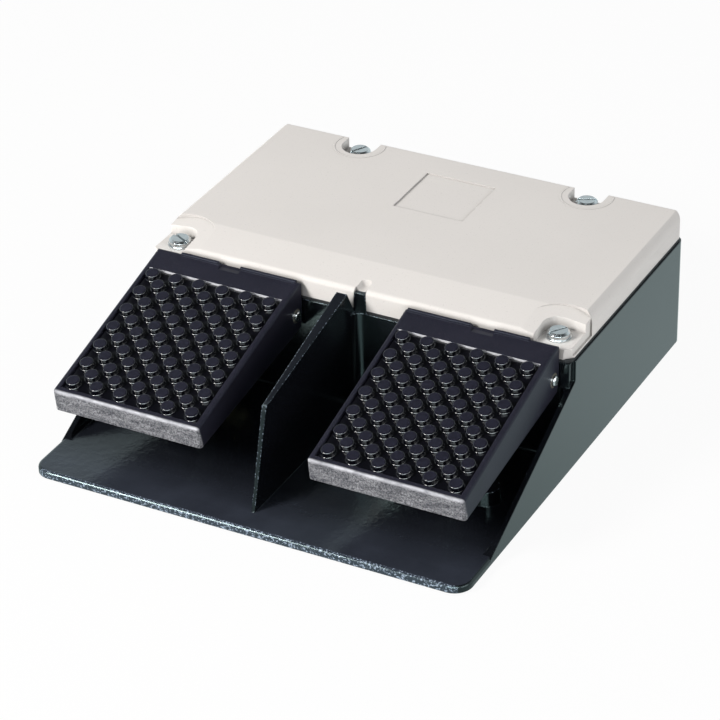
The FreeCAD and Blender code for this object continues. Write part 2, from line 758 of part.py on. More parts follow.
def cover():
    """Hollow moulded cover with pockets for its screws, a slot and a groove at the front."""
    outer = prism_x(cover_profile(0), -half_w + cover_inset, half_w - cover_inset)
    brow_y = y_bulk + cover_front_inset + cover_front_lean
    outer = rounded(outer, cover_front_round, lambda p: near(p.y, brow_y) and p.z > z_cover + 1)
    outer = outer.common(cover_section())
    x = half_w - cover_inset
    front = y_bulk + cover_front_inset
    for side in (1, -1):
        cut = cover_corner_cut
        outer = outer.cut(prism_z([(side * (x - cut), front - 1), (side * (x + 1), front - 1),
                                   (side * (x + 1), front + cut), (side * x, front + cut),
                                   (side * (x - cut), front)], z_cover - 1, z_top + 1))
    outer = rounded(outer, rear_corner - cover_inset,
                    lambda p: near(abs(p.x), x) and near(p.y, y_rear - cover_inset))
    outer = fused([outer, notch_ring(1), notch_ring(-1)])

    hollow = prism_x(cover_profile(cover_wall), -x + cover_wall, x - cover_wall)
    hollow = rounded(hollow, cover_wall, lambda p: near(abs(p.x), x - cover_wall) and p.z > z_cover)
    rim = gasket_inset + gasket_band
    hollow = hollow.common(box(-half_w + rim, half_w - rim, y_bulk + rim, y_rear - rim,
                               z_cover - 1, z_top))
    sleeves = []
    pockets = []
    for side in (1, -1):
        hollow = hollow.cut(screw_pocket(side, cover_wall)).cut(screw_notch(side, cover_wall))
        hollow = hollow.cut(lowered_corner(side, cover_wall))
        pockets += [screw_pocket(side, 0), lowered_corner(side, 0), side_step(side), screw_notch(side, 0)]
    groove_wall = groove_width / 2 + cover_wall
    hollow = hollow.cut(box(tongue_x - groove_wall, tongue_x + groove_wall, y_bulk,
                            y_bulk + groove_length + cover_wall, z_cover, z_top))
    for sx, sy, seat in cover_screw_places():
        foot = z_rim + sleeve_gap if sy < 0.5 * y_rear else z_cover
        sleeves.append(cylinder(sleeve_radius, vec(sx, sy, foot), vec(sx, sy, seat)))
        hollow = hollow.cut(cylinder(column_radius, vec(sx, sy, 0), vec(sx, sy, seat)))
    shell = outer.cut(hollow)
    for pocket in pockets:
        shell = shell.cut(pocket)
    shell = fused([shell] + sleeves)

    cuts = []
    for sx, sy, seat in cover_screw_places():
        cuts.append(cylinder(screw_radius + hole_clearance, vec(sx, sy, 0), vec(sx, sy, z_top)))
    half = emblem_side / 2
    cuts.append(box(-half, half, emblem_y - half, emblem_y + half, z_top - emblem_depth, z_top + 1))
    cuts.append(tongue_slot(wall))
    cuts.append(front_groove())
    return shell.cut(group(cuts))


def front_groove():
    """A round-ended channel down the sloping brow, above the tongue."""
    radius = (groove_width / 2) ** 2 / (2 * groove_depth) + groove_depth / 2
    start = vec(tongue_x, y_bulk - 2, 0)
    slope = math.radians(cover_slope)
    fall = (cover_fold - cover_front_inset) * math.tan(slope)
    start.z = z_top - fall - 2 * math.tan(slope) - groove_depth + radius
    run = vec(0, math.cos(slope), math.sin(slope)).multiply(groove_length - groove_width / 2)
    return cylinder(radius, start, start + run).fuse(Part.makeSphere(radius, start + run))


def pan_screw(x, y, seat, radius, length, head_radius, head_height, slot):
    """A slotted pan-head screw that stands on its seat, with a crowned head."""
    shank = cylinder(radius, vec(x, y, seat - length), vec(x, y, seat))
    head = cylinder(head_radius, vec(x, y, seat), vec(x, y, seat + head_height))
    head = bevelled(head, head_height * 0.35, lambda p: near(p.z, seat + head_height))
    deep = seat + head_height * 0.5
    cut = box(x - head_radius - 1, x + head_radius + 1, y - slot / 2, y + slot / 2, deep,
              seat + head_height + 1)
    return fused([shank, head]).cut(cut)


def turned(shape, x, y, angle):
    """Turns a shape about the upright line through a point."""
    spun = shape.copy()
    spun.rotate(vec(x, y, 0), Z_AXIS, angle)
    return spun


def cover_screws():
    """Four screws, each left at its own angle when it was tightened."""
    screws = []
    for (x, y, seat), angle in zip(cover_screw_places(), screw_turns):
        screw = pan_screw(x, y, seat + washer_thick, screw_radius, screw_length, screw_head_radius,
                          screw_head_height, screw_slot)
        screws.append(turned(screw, x, y, angle))
    return group(screws)


def washer(x, y, low, outer, inner, thick):
    return cylinder(outer, vec(x, y, low), vec(x, y, low + thick)).cut(
        cylinder(inner, vec(x, y, low - 1), vec(x, y, low + thick + 1)))


def cover_screw_washers():
    return group([washer(x, y, seat, washer_radius, screw_radius + hole_clearance, washer_thick)
                  for x, y, seat in cover_screw_places()])


def pedal_outline():
    """Side view of the pedal: lip, tread, upright rear edge and flange."""
    clear = pivot_out - pedal_gap
    rear_top = (pivot_depth + clear * math.sin(tilt)) / math.cos(tilt)
    swing = math.radians(pedal_travel)
    low = pivot_depth - flange_drop
    start = (clear * math.cos(swing), -clear * math.sin(swing))
    start_t, start_n = to_pedal(*start)
    lean_t, lean_n = to_pedal(-math.sin(swing), -math.cos(swing))
    reach = (start_n - low) / -lean_n
    return [(-pedal_reach, pivot_depth), (-pedal_reach - lip_flare, pivot_depth - lip_height),
            (start_t + lean_t * reach, low), (start_t, start_n), to_pedal(clear, 0),
            to_pedal(clear, rear_top)]


def rear_edge_t():
    """How far the tread's surface runs behind the pivot."""
    return pedal_outline()[-1][0]


def mat_area(grow):
    """The mat's (x, t) limits."""
    x = (stud_columns - 1) * stud_pitch / 2 + mat_side_margin + grow
    front = -tread_front - mat_margin - grow
    rear = -tread_front + (stud_rows - 1) * stud_pitch + mat_margin + grow
    return x, front, rear


def rear_rail(side):
    """The raised rail along the pedal's rear edge, short of the outer end."""
    half = pedal_width / 2
    rear = rear_edge_t()
    outer = side * (half - rail_short)
    inner = -side * (half - pedal_round)
    x0, x1 = min(outer, inner), max(outer, inner)
    rail = box(x0, x1, rear - rail_width - pedal_round / 2, rear - pedal_round / 2,
               pivot_depth - 1, pivot_depth + rail_height)
    top = pivot_depth + rail_height
    return rounded(rail, rail_width * 0.3, lambda p: near(p.z, top))


def rail_cut():
    """The notch in the rail, sloping on one side and upright on the other."""
    half = rail_notch / 2
    x = rail_notch_shift
    low = pivot_depth - rail_notch_depth
    high = pivot_depth + rail_height + 1
    rear = rear_edge_t()
    back = rear + 1
    front = rear - rail_width - pedal_round / 2
    notch = prism_y([(x - half, low), (x + half, low), (x + half, high),
                     (x - half - 2 * rail_height, high)],
                    front, back)
    ramp = prism_x([(front + 0.1, low), (front + 0.1, high), (front - 3 * rail_notch_depth, pivot_depth)],
                   x - half, x + half)
    return notch.fuse(ramp)


def pedal_ribs():
    """Stiffening ribs below the tread, two along it and four across."""
    top = pivot_depth - pedal_skin + joint_bite
    low = top - pedal_rib_depth
    inside = pedal_width / 2 - pedal_wall + joint_bite
    front = -pedal_reach + pedal_wall - joint_bite
    rear = -lug_radius * 2.3
    ribs = []
    for x in (-inside * 0.5, inside * 0.5):
        ribs.append(box(x - pedal_rib / 2, x + pedal_rib / 2, front, rear, low, top))
    for k in range(4):
        t = front + (k + 1) * (rear - front) / 5
        ribs.append(box(-inside, inside, t - pedal_rib / 2, t + pedal_rib / 2, low, top))
    return ribs


def pedal(side):
    """A moulded pedal: ribbed tread frame with flanges, pivot bosses, striker and seats."""
    half = pedal_width / 2
    outline = pedal_outline()
    block = prism([vec(-half, t, n) for t, n in outline], vec(pedal_width, 0, 0))
    block = rounded(block, pedal_round, lambda p: near(abs(p.x), half) and p.y < -pedal_reach + 0.1
                    and p.z < pivot_depth + 0.1)
    block = rounded(block, pedal_round * 0.9, lambda p: near(p.z, pivot_depth))
    deep = pivot_depth - pedal_skin
    tab_y = pivot_out - buffer_height - striker_gap
    hollow_front = -pedal_reach + pedal_wall
    hollow = prism([vec(-half + pedal_wall, t, n) for t, n in
                    ((hollow_front, deep), (hollow_front - lip_flare, -beyond), (beyond, -beyond),
                     (beyond, deep))], vec(pedal_width - 2 * pedal_wall, 0, 0))
    frame = block.cut(hollow)
    pieces = [frame] + pedal_ribs() + [rear_rail(side)]
    for end in (-1, 1):
        pieces.append(cylinder(pivot_boss_radius, vec(end * (half - joint_bite), 0, 0),
                               vec(end * (half - bush_length), 0, 0)))
    moulding = fused(pieces)
    x, front, rear = mat_area(mat_gap)
    sunk = pivot_depth + stud_proud - stud_height - mat_thick
    recess = box(-x, x, front, rear, sunk, pivot_depth + 1)
    bore = cylinder(pin_radius + bush_fit + bush_wall + pin_fit, vec(-half - 1, 0, 0), vec(half + 1, 0, 0))
    moulding = to_world(side, moulding.cut(group([recess, rail_cut(), bore])))

    x0 = side * pedal_x
    limit = skin_limit(side)
    striker_y = y_bulk - rod_front - striker_gap
    striker = box(x0 - striker_half, x0 + striker_half, striker_y - striker_thick, striker_y,
                  z_rod - striker_below, z_pivot + beyond)
    tab = box(x0 - tab_half, x0 + tab_half, y_pivot + tab_y - web_thick, y_pivot + tab_y,
              z_pivot + pin_radius + web_over_lug, z_pivot + beyond)
    inner = half - pedal_wall + joint_bite
    web = box(x0 - inner, x0 + inner, y_pivot + tab_y - web_thick, y_pivot + tab_y,
              z_pivot + lug_radius + web_over_lug, z_pivot + beyond)
    y_spring = y_pivot - spring_out
    z_seat = z_under + spring_top
    spring_boss = cylinder(spring_seat_radius, vec(x0, y_spring, z_seat),
                           vec(x0, y_spring, z_seat + beyond))
    spigot = cylinder(spring_spigot, vec(x0, y_spring, z_seat - spring_spigot_height),
                      vec(x0, y_spring, z_seat + 1))
    z_pad = z_floor + stop_post_height + stop_rubber_height + stop_clearance
    pad = from_pressed(side, cylinder(stop_pad_radius, vec(x0, y_pivot - stop_out, z_pad),
                                      vec(x0, y_pivot - stop_out, z_pad + beyond)))
    added = [piece.cut(limit) for piece in (striker, tab, web, spring_boss, spigot, pad)]
    return fused([moulding] + added)


def tread_mat(side):
    """A rubber mat with round studs in staggered rows."""
    x, front, rear = mat_area(0)
    low = pivot_depth + stud_proud - stud_height - mat_thick
    field = low + mat_thick
    mat = box(-x, x, front, rear, low, field)
    studs = []
    for row in range(2 * stud_rows - 1):
        count = stud_columns - row % 2
        for k in range(count):
            place = vec((k - (count - 1) / 2) * stud_pitch, -tread_front + row * stud_pitch / 2, field)
            studs.append(Part.makeCylinder(stud_radius, stud_height, place))
    return to_world(side, mat.multiFuse(studs))


def pedal_bushes(side):
    """Flanged bearing bushes pressed into the pedal's two pivot bosses."""
    bushes = []
    bore = pin_radius + bush_fit
    for end in (-1, 1):
        outer_end = pedal_width / 2 - bush_inset
        inner_end = pedal_width / 2 - bush_length
        tube = cylinder(bore + bush_wall, vec(end * outer_end, 0, 0), vec(end * inner_end, 0, 0))
        flange = cylinder(bush_flange_radius, vec(end * inner_end, 0, 0),
                          vec(end * (inner_end - bush_flange), 0, 0))
        hole = cylinder(bore, vec(end * (outer_end + 1), 0, 0),
                        vec(end * (inner_end - bush_flange - 1), 0, 0))
        bushes.append(fused([tube, flange]).cut(hole))
    return to_world(side, group(bushes))


def ring_places(x):
    reach = lug_spread + lug_thick / 2 + striker_gap
    return [(x - reach - ring_thick, x - reach), (x + reach, x + reach + ring_thick)]


def pivot_pin(side):
    """A plain pin with chamfered ends and a groove for each retaining ring."""
    x = side * pedal_x
    half = pedal_width / 2 + pin_proud
    pin = cylinder(pin_radius, vec(x - half, y_pivot, z_pivot), vec(x + half, y_pivot, z_pivot))
    pin = pin.makeChamfer(pin_chamfer, [edge for edge in pin.Edges if edge.Closed])
    grooves = []
    for x0, x1 in ring_places(x):
        groove = cylinder(pin_radius + 1, vec(x0 - pin_fit, y_pivot, z_pivot),
                          vec(x1 + pin_fit, y_pivot, z_pivot))
        core = cylinder(pin_radius - ring_groove, vec(x0 - 1, y_pivot, z_pivot),
                        vec(x1 + 1, y_pivot, z_pivot))
        grooves.append(groove.cut(core))
    return pin.cut(group(grooves))


def pivot_retaining_rings():
    """Open rings snapped into the pins' grooves beside the lugs."""
    rings = []
    for side in SIDES.values():
        for x0, x1 in ring_places(side * pedal_x):
            ring = cylinder(ring_radius, vec(x0, y_pivot, z_pivot), vec(x1, y_pivot, z_pivot))
            bore = cylinder(pin_radius - ring_groove + pin_fit, vec(x0 - 1, y_pivot, z_pivot),
                            vec(x1 + 1, y_pivot, z_pivot))
            mouth = box(x0 - 1, x1 + 1, y_pivot - ring_radius * 0.4, y_pivot + ring_radius * 0.4,
                        z_pivot - 2 * ring_radius, z_pivot)
            rings.append(ring.cut(bore).cut(mouth))
    return group(rings)


def push_rod(side):
    """A guided rod with a domed tip that faces the striker."""
    x = side * pedal_x
    y0 = y_bulk - rod_front
    rod = cylinder(rod_radius, vec(x, y0, z_rod), vec(x, y0 + rod_length, z_rod))
    dome = Part.makeSphere(rod_dome, vec(x, y0 + rod_dome, z_rod))
    body = cylinder(rod_radius, vec(x, y0 + rod_dome, z_rod), vec(x, y0 + rod_length, z_rod))
    return fused([rod.common(dome), body])


def guide_bushes():
    """Flanged bushes through the bulkhead, each with a groove for its seal ring."""
    bushes = []
    for side in SIDES.values():
        x = side * pedal_x
        y0 = y_bulk - guide_flange
        flange = cylinder(guide_flange_radius, vec(x, y0, z_rod), vec(x, y_bulk, z_rod))
        tube = cylinder(guide_radius, vec(x, y0, z_rod), vec(x, y_bulk + guide_length, z_rod))
        bore = cylinder(rod_radius + rod_fit, vec(x, y0 - 1, z_rod),
                        vec(x, y_bulk + guide_length + 1, z_rod))
        middle = y_bulk + seal_place
        groove = cylinder(rod_radius + rod_fit + 2 * seal_section, vec(x, middle - seal_groove / 2, z_rod),
                          vec(x, middle + seal_groove / 2, z_rod))
        bushes.append(fused([flange, tube]).cut(bore).cut(groove))
    return group(bushes)


def guide_bush_nuts():
    nuts = []
    for side in SIDES.values():
        x = side * pedal_x
        start = vec(x, y_bulk + wall, z_rod)
        nut = hexagon(guide_nut_across, start, start + vec(0, guide_nut_thick, 0))
        nuts.append(nut.cut(cylinder(guide_radius + pin_fit, start - Y_AXIS,
                                     start + vec(0, guide_nut_thick + 1, 0))))
    return group(nuts)


def rod_seals():
    """Square-section seal rings in the bushes' grooves."""
    seals = []
    for side in SIDES.values():
        start = vec(side * pedal_x, y_bulk + seal_place - seal_section, z_rod)
        end = start + vec(0, 2 * seal_section, 0)
        ring = cylinder(rod_radius + rod_fit + 2 * seal_section, start, end)
        seals.append(ring.cut(cylinder(rod_radius + rod_fit, start - Y_AXIS, end + Y_AXIS)))
    return group(seals)


def return_spring(side):
    """A coiled wire spring between the floor's seat and the pedal."""
    x = side * pedal_x
    y = y_pivot - spring_out
    low = z_floor + spring_seat_thick + spring_wire + spring_gap
    high = z_under + spring_top - spring_wire - spring_gap
    steps = spring_turns * spring_steps
    rise = (high - low) / (2 * math.pi * spring_turns)
    sections = []
    for k in range(steps + 1):
        angle = 2 * math.pi * k / spring_steps
        out = vec(math.cos(angle), math.sin(angle), 0)
        ahead = vec(-out.y * spring_radius, out.x * spring_radius, rise).normalize()
        up = ahead.cross(out)
        centre = vec(x, y, low + rise * angle) + out * spring_radius
        corners = []
        for c in range(6):
            turn = math.radians(60 * c)
            corners.append(centre + (out * math.cos(turn) - up * math.sin(turn)) * spring_wire)
        sections.append(Part.makePolygon(corners + [corners[0]]))
    return Part.makeLoft(sections, True, True)


def pedal_stops():
    """Rubber stops with a stem, seated on the casting's posts."""
    stops = []
    z_post = z_floor + stop_post_height
    for side in SIDES.values():
        place = vec(side * pedal_x, y_pivot - stop_out, 0)
        head = cylinder(stop_rubber_radius, place + vec(0, 0, z_post),
                        place + vec(0, 0, z_post + stop_rubber_height))
        top = z_post + stop_rubber_height
        head = bevelled(head, stop_edge, lambda p: near(p.z, top))
        stem = cylinder(stop_stem_radius - pin_fit, place + vec(0, 0, z_post - stop_stem),
                        place + vec(0, 0, z_post + 1))
        stops.append(fused([head, stem]))
    return group(stops)


def rest_buffers():
    """Rubber buttons in the bulkhead that the pedals' tabs rest against."""
    buffers = []
    for side in SIDES.values():
        place = vec(side * pedal_x, y_bulk, z_pivot + buffer_up)
        head = cylinder(buffer_radius, place - vec(0, buffer_height, 0), place)
        stem = cylinder(buffer_stem_radius - pin_fit, place - vec(0, 1, 0), place + vec(0, buffer_stem, 0))
        buffers.append(fused([head, stem]))
    return group(buffers)


def block_place(side):
    """Left, front and lower limits of a contact block."""
    return side * pedal_x - block_width / 2, y_bulk + block_front, z_rod - block_height / 2


def block_screw_places(side):
    x, y, _ = block_place(side)
    middle = x + block_width / 2
    return [(middle + block_screw_x, y + block_screw_y),
            (middle - block_screw_x, y + block_length - block_screw_y)]


def terminal_screw_places(side):
    x, y, z = block_place(side)
    inset = block_step_width / 2
    span = block_length - 2 * block_step_margin
    return [(x + across, y + block_step_margin + along * span,
             z + block_height - block_step - clamp_screw_sink)
            for across in (inset, block_width - inset) for along in (0.25, 0.75)]


def switch_block(side):
    """A contact block with a plunger bore and stepped terminal shelves."""
    x, y, z = block_place(side)
    body = box(x, x + block_width, y, y + block_length, z, z + block_height)
    cuts = []
    for x0 in (x - 1, x + block_width - block_step_width):
        cuts.append(box(x0, x0 + block_step_width + 1, y + block_step_margin,
                        y + block_length - block_step_margin,
                        z + block_height - block_step, z + block_height + 1))
    middle = side * pedal_x
    depth_in = plunger_inside + plunger_room
    cuts.append(cylinder(plunger_radius + plunger_fit, vec(middle, y - 1, z_rod),
                         vec(middle, y + depth_in, z_rod)))
    for sx, sy in block_screw_places(side):
        cuts.append(cylinder(small_screw_radius + block_screw_gap, vec(sx, sy, z - 1),
                             vec(sx, sy, z + block_height + 1)))
    for tx, ty, tz in terminal_screw_places(side):
        cuts.append(cylinder(clamp_screw_radius + clamp_screw_gap, vec(tx, ty, tz),
                             vec(tx, ty, z + block_height)))
    return body.cut(group(cuts))


def switch_plunger(side):
    x = side * pedal_x
    y0 = y_bulk - rod_front + rod_length
    return cylinder(plunger_radius, vec(x, y0, z_rod), vec(x, y_bulk + block_front + plunger_inside, z_rod))


def switch_bracket(side):
    """A bent sheet bracket of hat section, with a collar under each block screw."""
    x, y, z = block_place(side)
    low = z_floor + floor_boss_height
    wide = block_width
    hat = [(x - bracket_foot, low), (x + sheet, low), (x + sheet, z - sheet), (x + wide - sheet, z - sheet),
           (x + wide - sheet, low), (x + wide + bracket_foot, low), (x + wide + bracket_foot, low + sheet),
           (x + wide, low + sheet), (x + wide, z), (x, z), (x, low + sheet),
           (x - bracket_foot, low + sheet)]
    plate = prism_y(hat, y + bracket_margin, y + block_length - bracket_margin)
    collars = []
    holes = []
    for sx, sy in block_screw_places(side):
        collars.append(cylinder(collar_radius, vec(sx, sy, z - sheet - collar_height),
                                vec(sx, sy, z - sheet / 2)))
        holes.append(cylinder(small_screw_radius + pin_fit, vec(sx, sy, 0), vec(sx, sy, z + 1)))
    for sx, sy in bracket_screw_places():
        if sx * side > 0:
            holes.append(cylinder(small_screw_radius + block_screw_gap, vec(sx, sy, 0),
                                  vec(sx, sy, low + sheet + 1)))
    return fused([plate] + collars).cut(group(holes))


def small_screw(x, y, seat, length):
    return pan_screw(x, y, seat, small_screw_radius, length, small_head_radius, small_head_height,
                     small_slot)


def switch_bracket_screws():
    seat = z_floor + floor_boss_height + sheet
    return group([small_screw(x, y, seat, sheet + small_screw_bite) for x, y in bracket_screw_places()])


def switch_block_screws():
    length = block_height + sheet + collar_height
    seat = z_rod + block_height / 2
    return group([small_screw(x, y, seat, length)
                  for side in SIDES.values() for x, y in block_screw_places(side)])


def clamp_screw(x, y, low):
    """A slotted clamping screw sunk in its terminal."""
    head = cylinder(clamp_screw_radius, vec(x, y, low), vec(x, y, low + clamp_screw_height))
    return head.cut(box(x - small_slot / 2, x + small_slot / 2, y - clamp_screw_radius - 1,
                        y + clamp_screw_radius + 1,
                        low + clamp_screw_height * 0.5, low + clamp_screw_height + 1))


def switch_terminal_screws():
    return group([clamp_screw(x, y, z)
                  for side in SIDES.values() for x, y, z in terminal_screw_places(side)])


def strip_screw_places():
    z = z_floor + floor_boss_height + strip_height - clamp_screw_height - strip_clamp_sink
    return [((k - (strip_poles - 1) / 2) * strip_pitch, strip_y + row, z)
            for k in range(strip_poles) for row in (-strip_row, strip_row)]


def terminal_block():
    """A strip of screw terminals with wire mouths in front and behind."""
    low = z_floor + floor_boss_height
    high = low + strip_height
    half = strip_length / 2
    body = box(-half, half, strip_y - strip_width / 2, strip_y + strip_width / 2, low, high)
    cuts = []
    for x, y, z in strip_screw_places():
        cuts.append(cylinder(clamp_screw_radius + clamp_screw_gap, vec(x, y, z), vec(x, y, high + 1)))
        out = strip_width if y > strip_y else -strip_width
        mouth = vec(x, y, low + wire_mouth_height)
        cuts.append(cylinder(wire_mouth_radius, mouth, mouth + vec(0, out, 0)))
    for x in (-strip_screw_x, strip_screw_x):
        cuts.append(cylinder(small_screw_radius + block_screw_gap, vec(x, strip_y, low - 1),
                             vec(x, strip_y, high + 1)))
        end = math.copysign(half + 1, x)
        inner = math.copysign(strip_screw_x - small_head_radius - strip_ear_gap, x)
        cuts.append(box(min(end, inner), max(end, inner), strip_y - beyond, strip_y + beyond,
                        low + strip_height / 3, high + 1))
    return body.cut(group(cuts))


def terminal_block_screws():
    seat = z_floor + floor_boss_height + strip_height / 3
    length = strip_height / 3 + small_screw_bite
    return group([small_screw(x, strip_y, seat, length) for x in (-strip_screw_x, strip_screw_x)])


def terminal_clamp_screws():
    return group([clamp_screw(x, y, z) for x, y, z in strip_screw_places()])


def earth_washer():
    return washer(earth_x, earth_y, z_floor + floor_boss_height, earth_washer_radius,
                  earth_screw_radius + hole_clearance, earth_washer_thick)


def earth_screw():
    seat = z_floor + floor_boss_height + earth_washer_thick
    return pan_screw(earth_x, earth_y, seat, earth_screw_radius, small_screw_bite + earth_washer_thick,
                     earth_head_radius, earth_head_height, earth_slot)


def blanking_plug():
    """A plug sunk flush in the unused entry, with a hexagonal key recess."""
    z = z_under + entry_height
    head = cylinder(plug_head_radius, vec(-entry_x, y_rear - plug_head, z), vec(-entry_x, y_rear, z))
    shank = cylinder(plug_shank_radius, vec(-entry_x, y_rear - wall - plug_pad, z),
                     vec(-entry_x, y_rear - 1, z))
    key = hexagon(plug_key, vec(-entry_x, y_rear - plug_key_depth, z), vec(-entry_x, y_rear + 1, z))
    return fused([head, shank]).cut(key)


def blanking_plug_seal():
    z = z_under + entry_height
    y1 = y_rear - plug_head
    ring = cylinder(plug_head_radius, vec(-entry_x, y1 - plug_seal, z), vec(-entry_x, y1, z))
    return ring.cut(cylinder(plug_shank_radius + pin_fit, vec(-entry_x, y1 - 2, z),
                             vec(-entry_x, y1 + 1, z)))


def rubber_feet():
    feet = []
    for x, y in foot_places():
        foot = cylinder(foot_radius, vec(x, y, 0), vec(x, y, z_under + foot_recess))
        feet.append(bevelled(foot, foot_edge, lambda p: near(p.z, 0)))
    return group(feet)


nodes = {
    "base_housing": base_housing(),
    "cover": cover(),
    "cover_gasket": cover_gasket(),
    "cover_screws": cover_screws(),
    "cover_screw_washers": cover_screw_washers(),
    "pivot_retaining_rings": pivot_retaining_rings(),
    "guide_bushes": guide_bushes(),
    "guide_bush_nuts": guide_bush_nuts(),
    "rod_seals": rod_seals(),
    "pedal_stops": pedal_stops(),
    "rest_buffers": rest_buffers(),
    "switch_bracket_screws": switch_bracket_screws(),
    "switch_block_screws": switch_block_screws(),
    "switch_terminal_screws": switch_terminal_screws(),
    "terminal_block": terminal_block(),
    "terminal_block_screws": terminal_block_screws(),
    "terminal_clamp_screws": terminal_clamp_screws(),
    "earth_washer": earth_washer(),
    "earth_screw": earth_screw(),
    "blanking_plug": blanking_plug(),
    "blanking_plug_seal": blanking_plug_seal(),
    "rubber_feet": rubber_feet(),
}
for name, side in SIDES.items():
    nodes[name + "_pedal"] = pedal(side)
    nodes[name + "_tread_mat"] = tread_mat(side)
    nodes[name + "_pedal_bushes"] = pedal_bushes(side)
    nodes[name + "_pivot_pin"] = pivot_pin(side)
    nodes[name + "_push_rod"] = push_rod(side)
    nodes[name + "_return_spring"] = return_spring(side)
    nodes[name + "_switch_block"] = switch_block(side)
    nodes[name + "_switch_plunger"] = switch_plunger(side)
    nodes[name + "_switch_bracket"] = switch_bracket(side)

for name, shape in nodes.items():
    shape.exportStep("parts/" + name + ".step")
    print(name, "solids", len(shape.Solids), "valid", shape.isValid(), "volume %.0f" % shape.Volume)
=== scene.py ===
import bmesh
import bpy
import json
import math
from mathutils import Matrix, Vector


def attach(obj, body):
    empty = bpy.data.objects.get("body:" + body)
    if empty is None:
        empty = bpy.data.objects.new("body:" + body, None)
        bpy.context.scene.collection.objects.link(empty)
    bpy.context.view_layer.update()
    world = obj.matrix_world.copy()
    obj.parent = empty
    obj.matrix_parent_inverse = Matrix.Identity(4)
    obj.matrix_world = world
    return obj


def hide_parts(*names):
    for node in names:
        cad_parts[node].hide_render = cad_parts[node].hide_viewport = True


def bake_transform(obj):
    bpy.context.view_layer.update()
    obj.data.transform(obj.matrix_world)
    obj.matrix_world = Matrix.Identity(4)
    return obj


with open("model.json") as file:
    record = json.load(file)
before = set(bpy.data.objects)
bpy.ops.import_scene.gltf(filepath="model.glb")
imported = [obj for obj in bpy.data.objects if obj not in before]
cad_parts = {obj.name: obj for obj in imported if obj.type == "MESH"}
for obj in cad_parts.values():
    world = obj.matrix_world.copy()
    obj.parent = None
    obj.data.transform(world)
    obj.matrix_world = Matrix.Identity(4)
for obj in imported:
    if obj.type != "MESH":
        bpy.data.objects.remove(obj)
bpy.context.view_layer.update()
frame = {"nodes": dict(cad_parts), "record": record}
NODES = frame["nodes"]

MM = 0.001
SIDES = {"left": -1, "right": 1}

# The pedals' own frame, in millimetres: x across, t along the tread to the rear, n out of it.
PEDAL_X = 74.4
PIVOT_Y = -18.0
PIVOT_Z = 57.0
TILT = math.radians(14.69)

# Tread mats
MAT_HALF = 40.2
MAT_FRONT = -100.45
MAT_REAR = -5.9
MAT_TOP = 15.0
MAT_LOW = 13.8
MAT_CORNER = 1.5
MAT_EDGE = 0.3
STUD_PITCH = 14.142
STUD_FRONT = -95.6
STUD_ROWS = 13
STUD_COLUMNS = 6
STUD_RADIUS = 3.75
STUD_TOP = 18.2
STUD_FILLET = 0.7
STUD_ROUND = 0.6
STUD_BAND = 0.4
STUD_RUB = 0.35
STUD_STEPS = 36
ARC_STEPS = 4
SHARP_EDGE = math.radians(35)

# Return springs
SPRING_Y = -50.0
SPRING_LOW = 8.0
SPRING_HIGH = 46.0
SPRING_RADIUS = 7.2
SPRING_WIRE = 0.8
SPRING_TURNS = 7
SPRING_STEPS = 40
SPRING_GAP = 0.05
SPRING_CLOSED = 2.05 * SPRING_WIRE

# Screw heads, for the turning marks
SCREW_FRONT = (112.0, 0.4)
SCREW_REAR = (70.0, 130.1)
SCREW_DIVIDE_Y = 65.0
RING_PITCH = 0.45

# Pale streaky scuffs on the pedals' front lips, partly painted light on the front-facing lip, along the
# tread, and a painted highlight on their top edge
LIP_SCUFF_LIGHT_START = -103.6
LIP_SCUFF_LIGHT_END = -102.6
LIP_HIGHLIGHT_START = 14.2
LIP_HIGHLIGHT_FULL = 15.4

# Rear wall of the mat's recess, along the tread, painted pale below the frame's surface as a painted glint
WALL_HALF = 40.45
WALL_START = -5.95
WALL_END = -5.6
WALL_TOP = 16.15

# Painted highlight sparkles on the casting's edges, and painted light on its front face: where the front
# face starts, and the rib between the cheeks
RIM_FACE = -135.6
FLOOR_CLEAR = 8.0
CHEEK_INNER = 110.0

# Dust on the tray, full at its front edge and thinned below the pedals as painted shade
UNDER_PEDAL_SHADE_START = -124.0
UNDER_PEDAL_SHADE_FULL = -98.0

# Camera, fitted to the photograph
CAMERA_AZIMUTH = math.radians(28.15)
CAMERA_ELEVATION = math.radians(31.29)
CAMERA_ROLL = math.radians(-1.2366)
CAMERA_DISTANCE = 1.6486
CAMERA_SIDE = -2.883 * MM
CAMERA_HEIGHT = 28.309 * MM
CAMERA_FOCAL_PIXELS = 3094.3
CAMERA_REACH = 50.0
FRAME_PIXELS = 720
SENSOR = 36.0

# Studio
FLOOR_REACH = 6.0
FLOOR_GLOW = 0.94
FLOOR_SEEN_FRONT = (0.50, 0.62, 0.62)
FLOOR_SEEN_REAR = (0.78, 0.93, 0.94)
FLOOR_SEEN_SPAN = (-0.16, 0.14)
WORLD_LIGHT = 0.33
LAMP_TARGET = (0.0, 0.0, 0.04)

# What reflections show, by the direction's height: a bright horizon and a dark ceiling
HORIZON_SEEN = 0.90
OVERHEAD_SEEN = 0.03
CEILING_SPAN = (0.40, 0.80)

# The window in front: for each edge its axis, and the direction's value outside and inside it
WINDOW_SEEN = 13.0
WINDOW_FRONT = (-0.15, -0.55)
WINDOW_EDGES = (("X", -0.34, -0.14), ("X", 0.66, 0.52), ("Z", 0.28, 0.40), ("Z", 0.80, 0.64))


# Materials

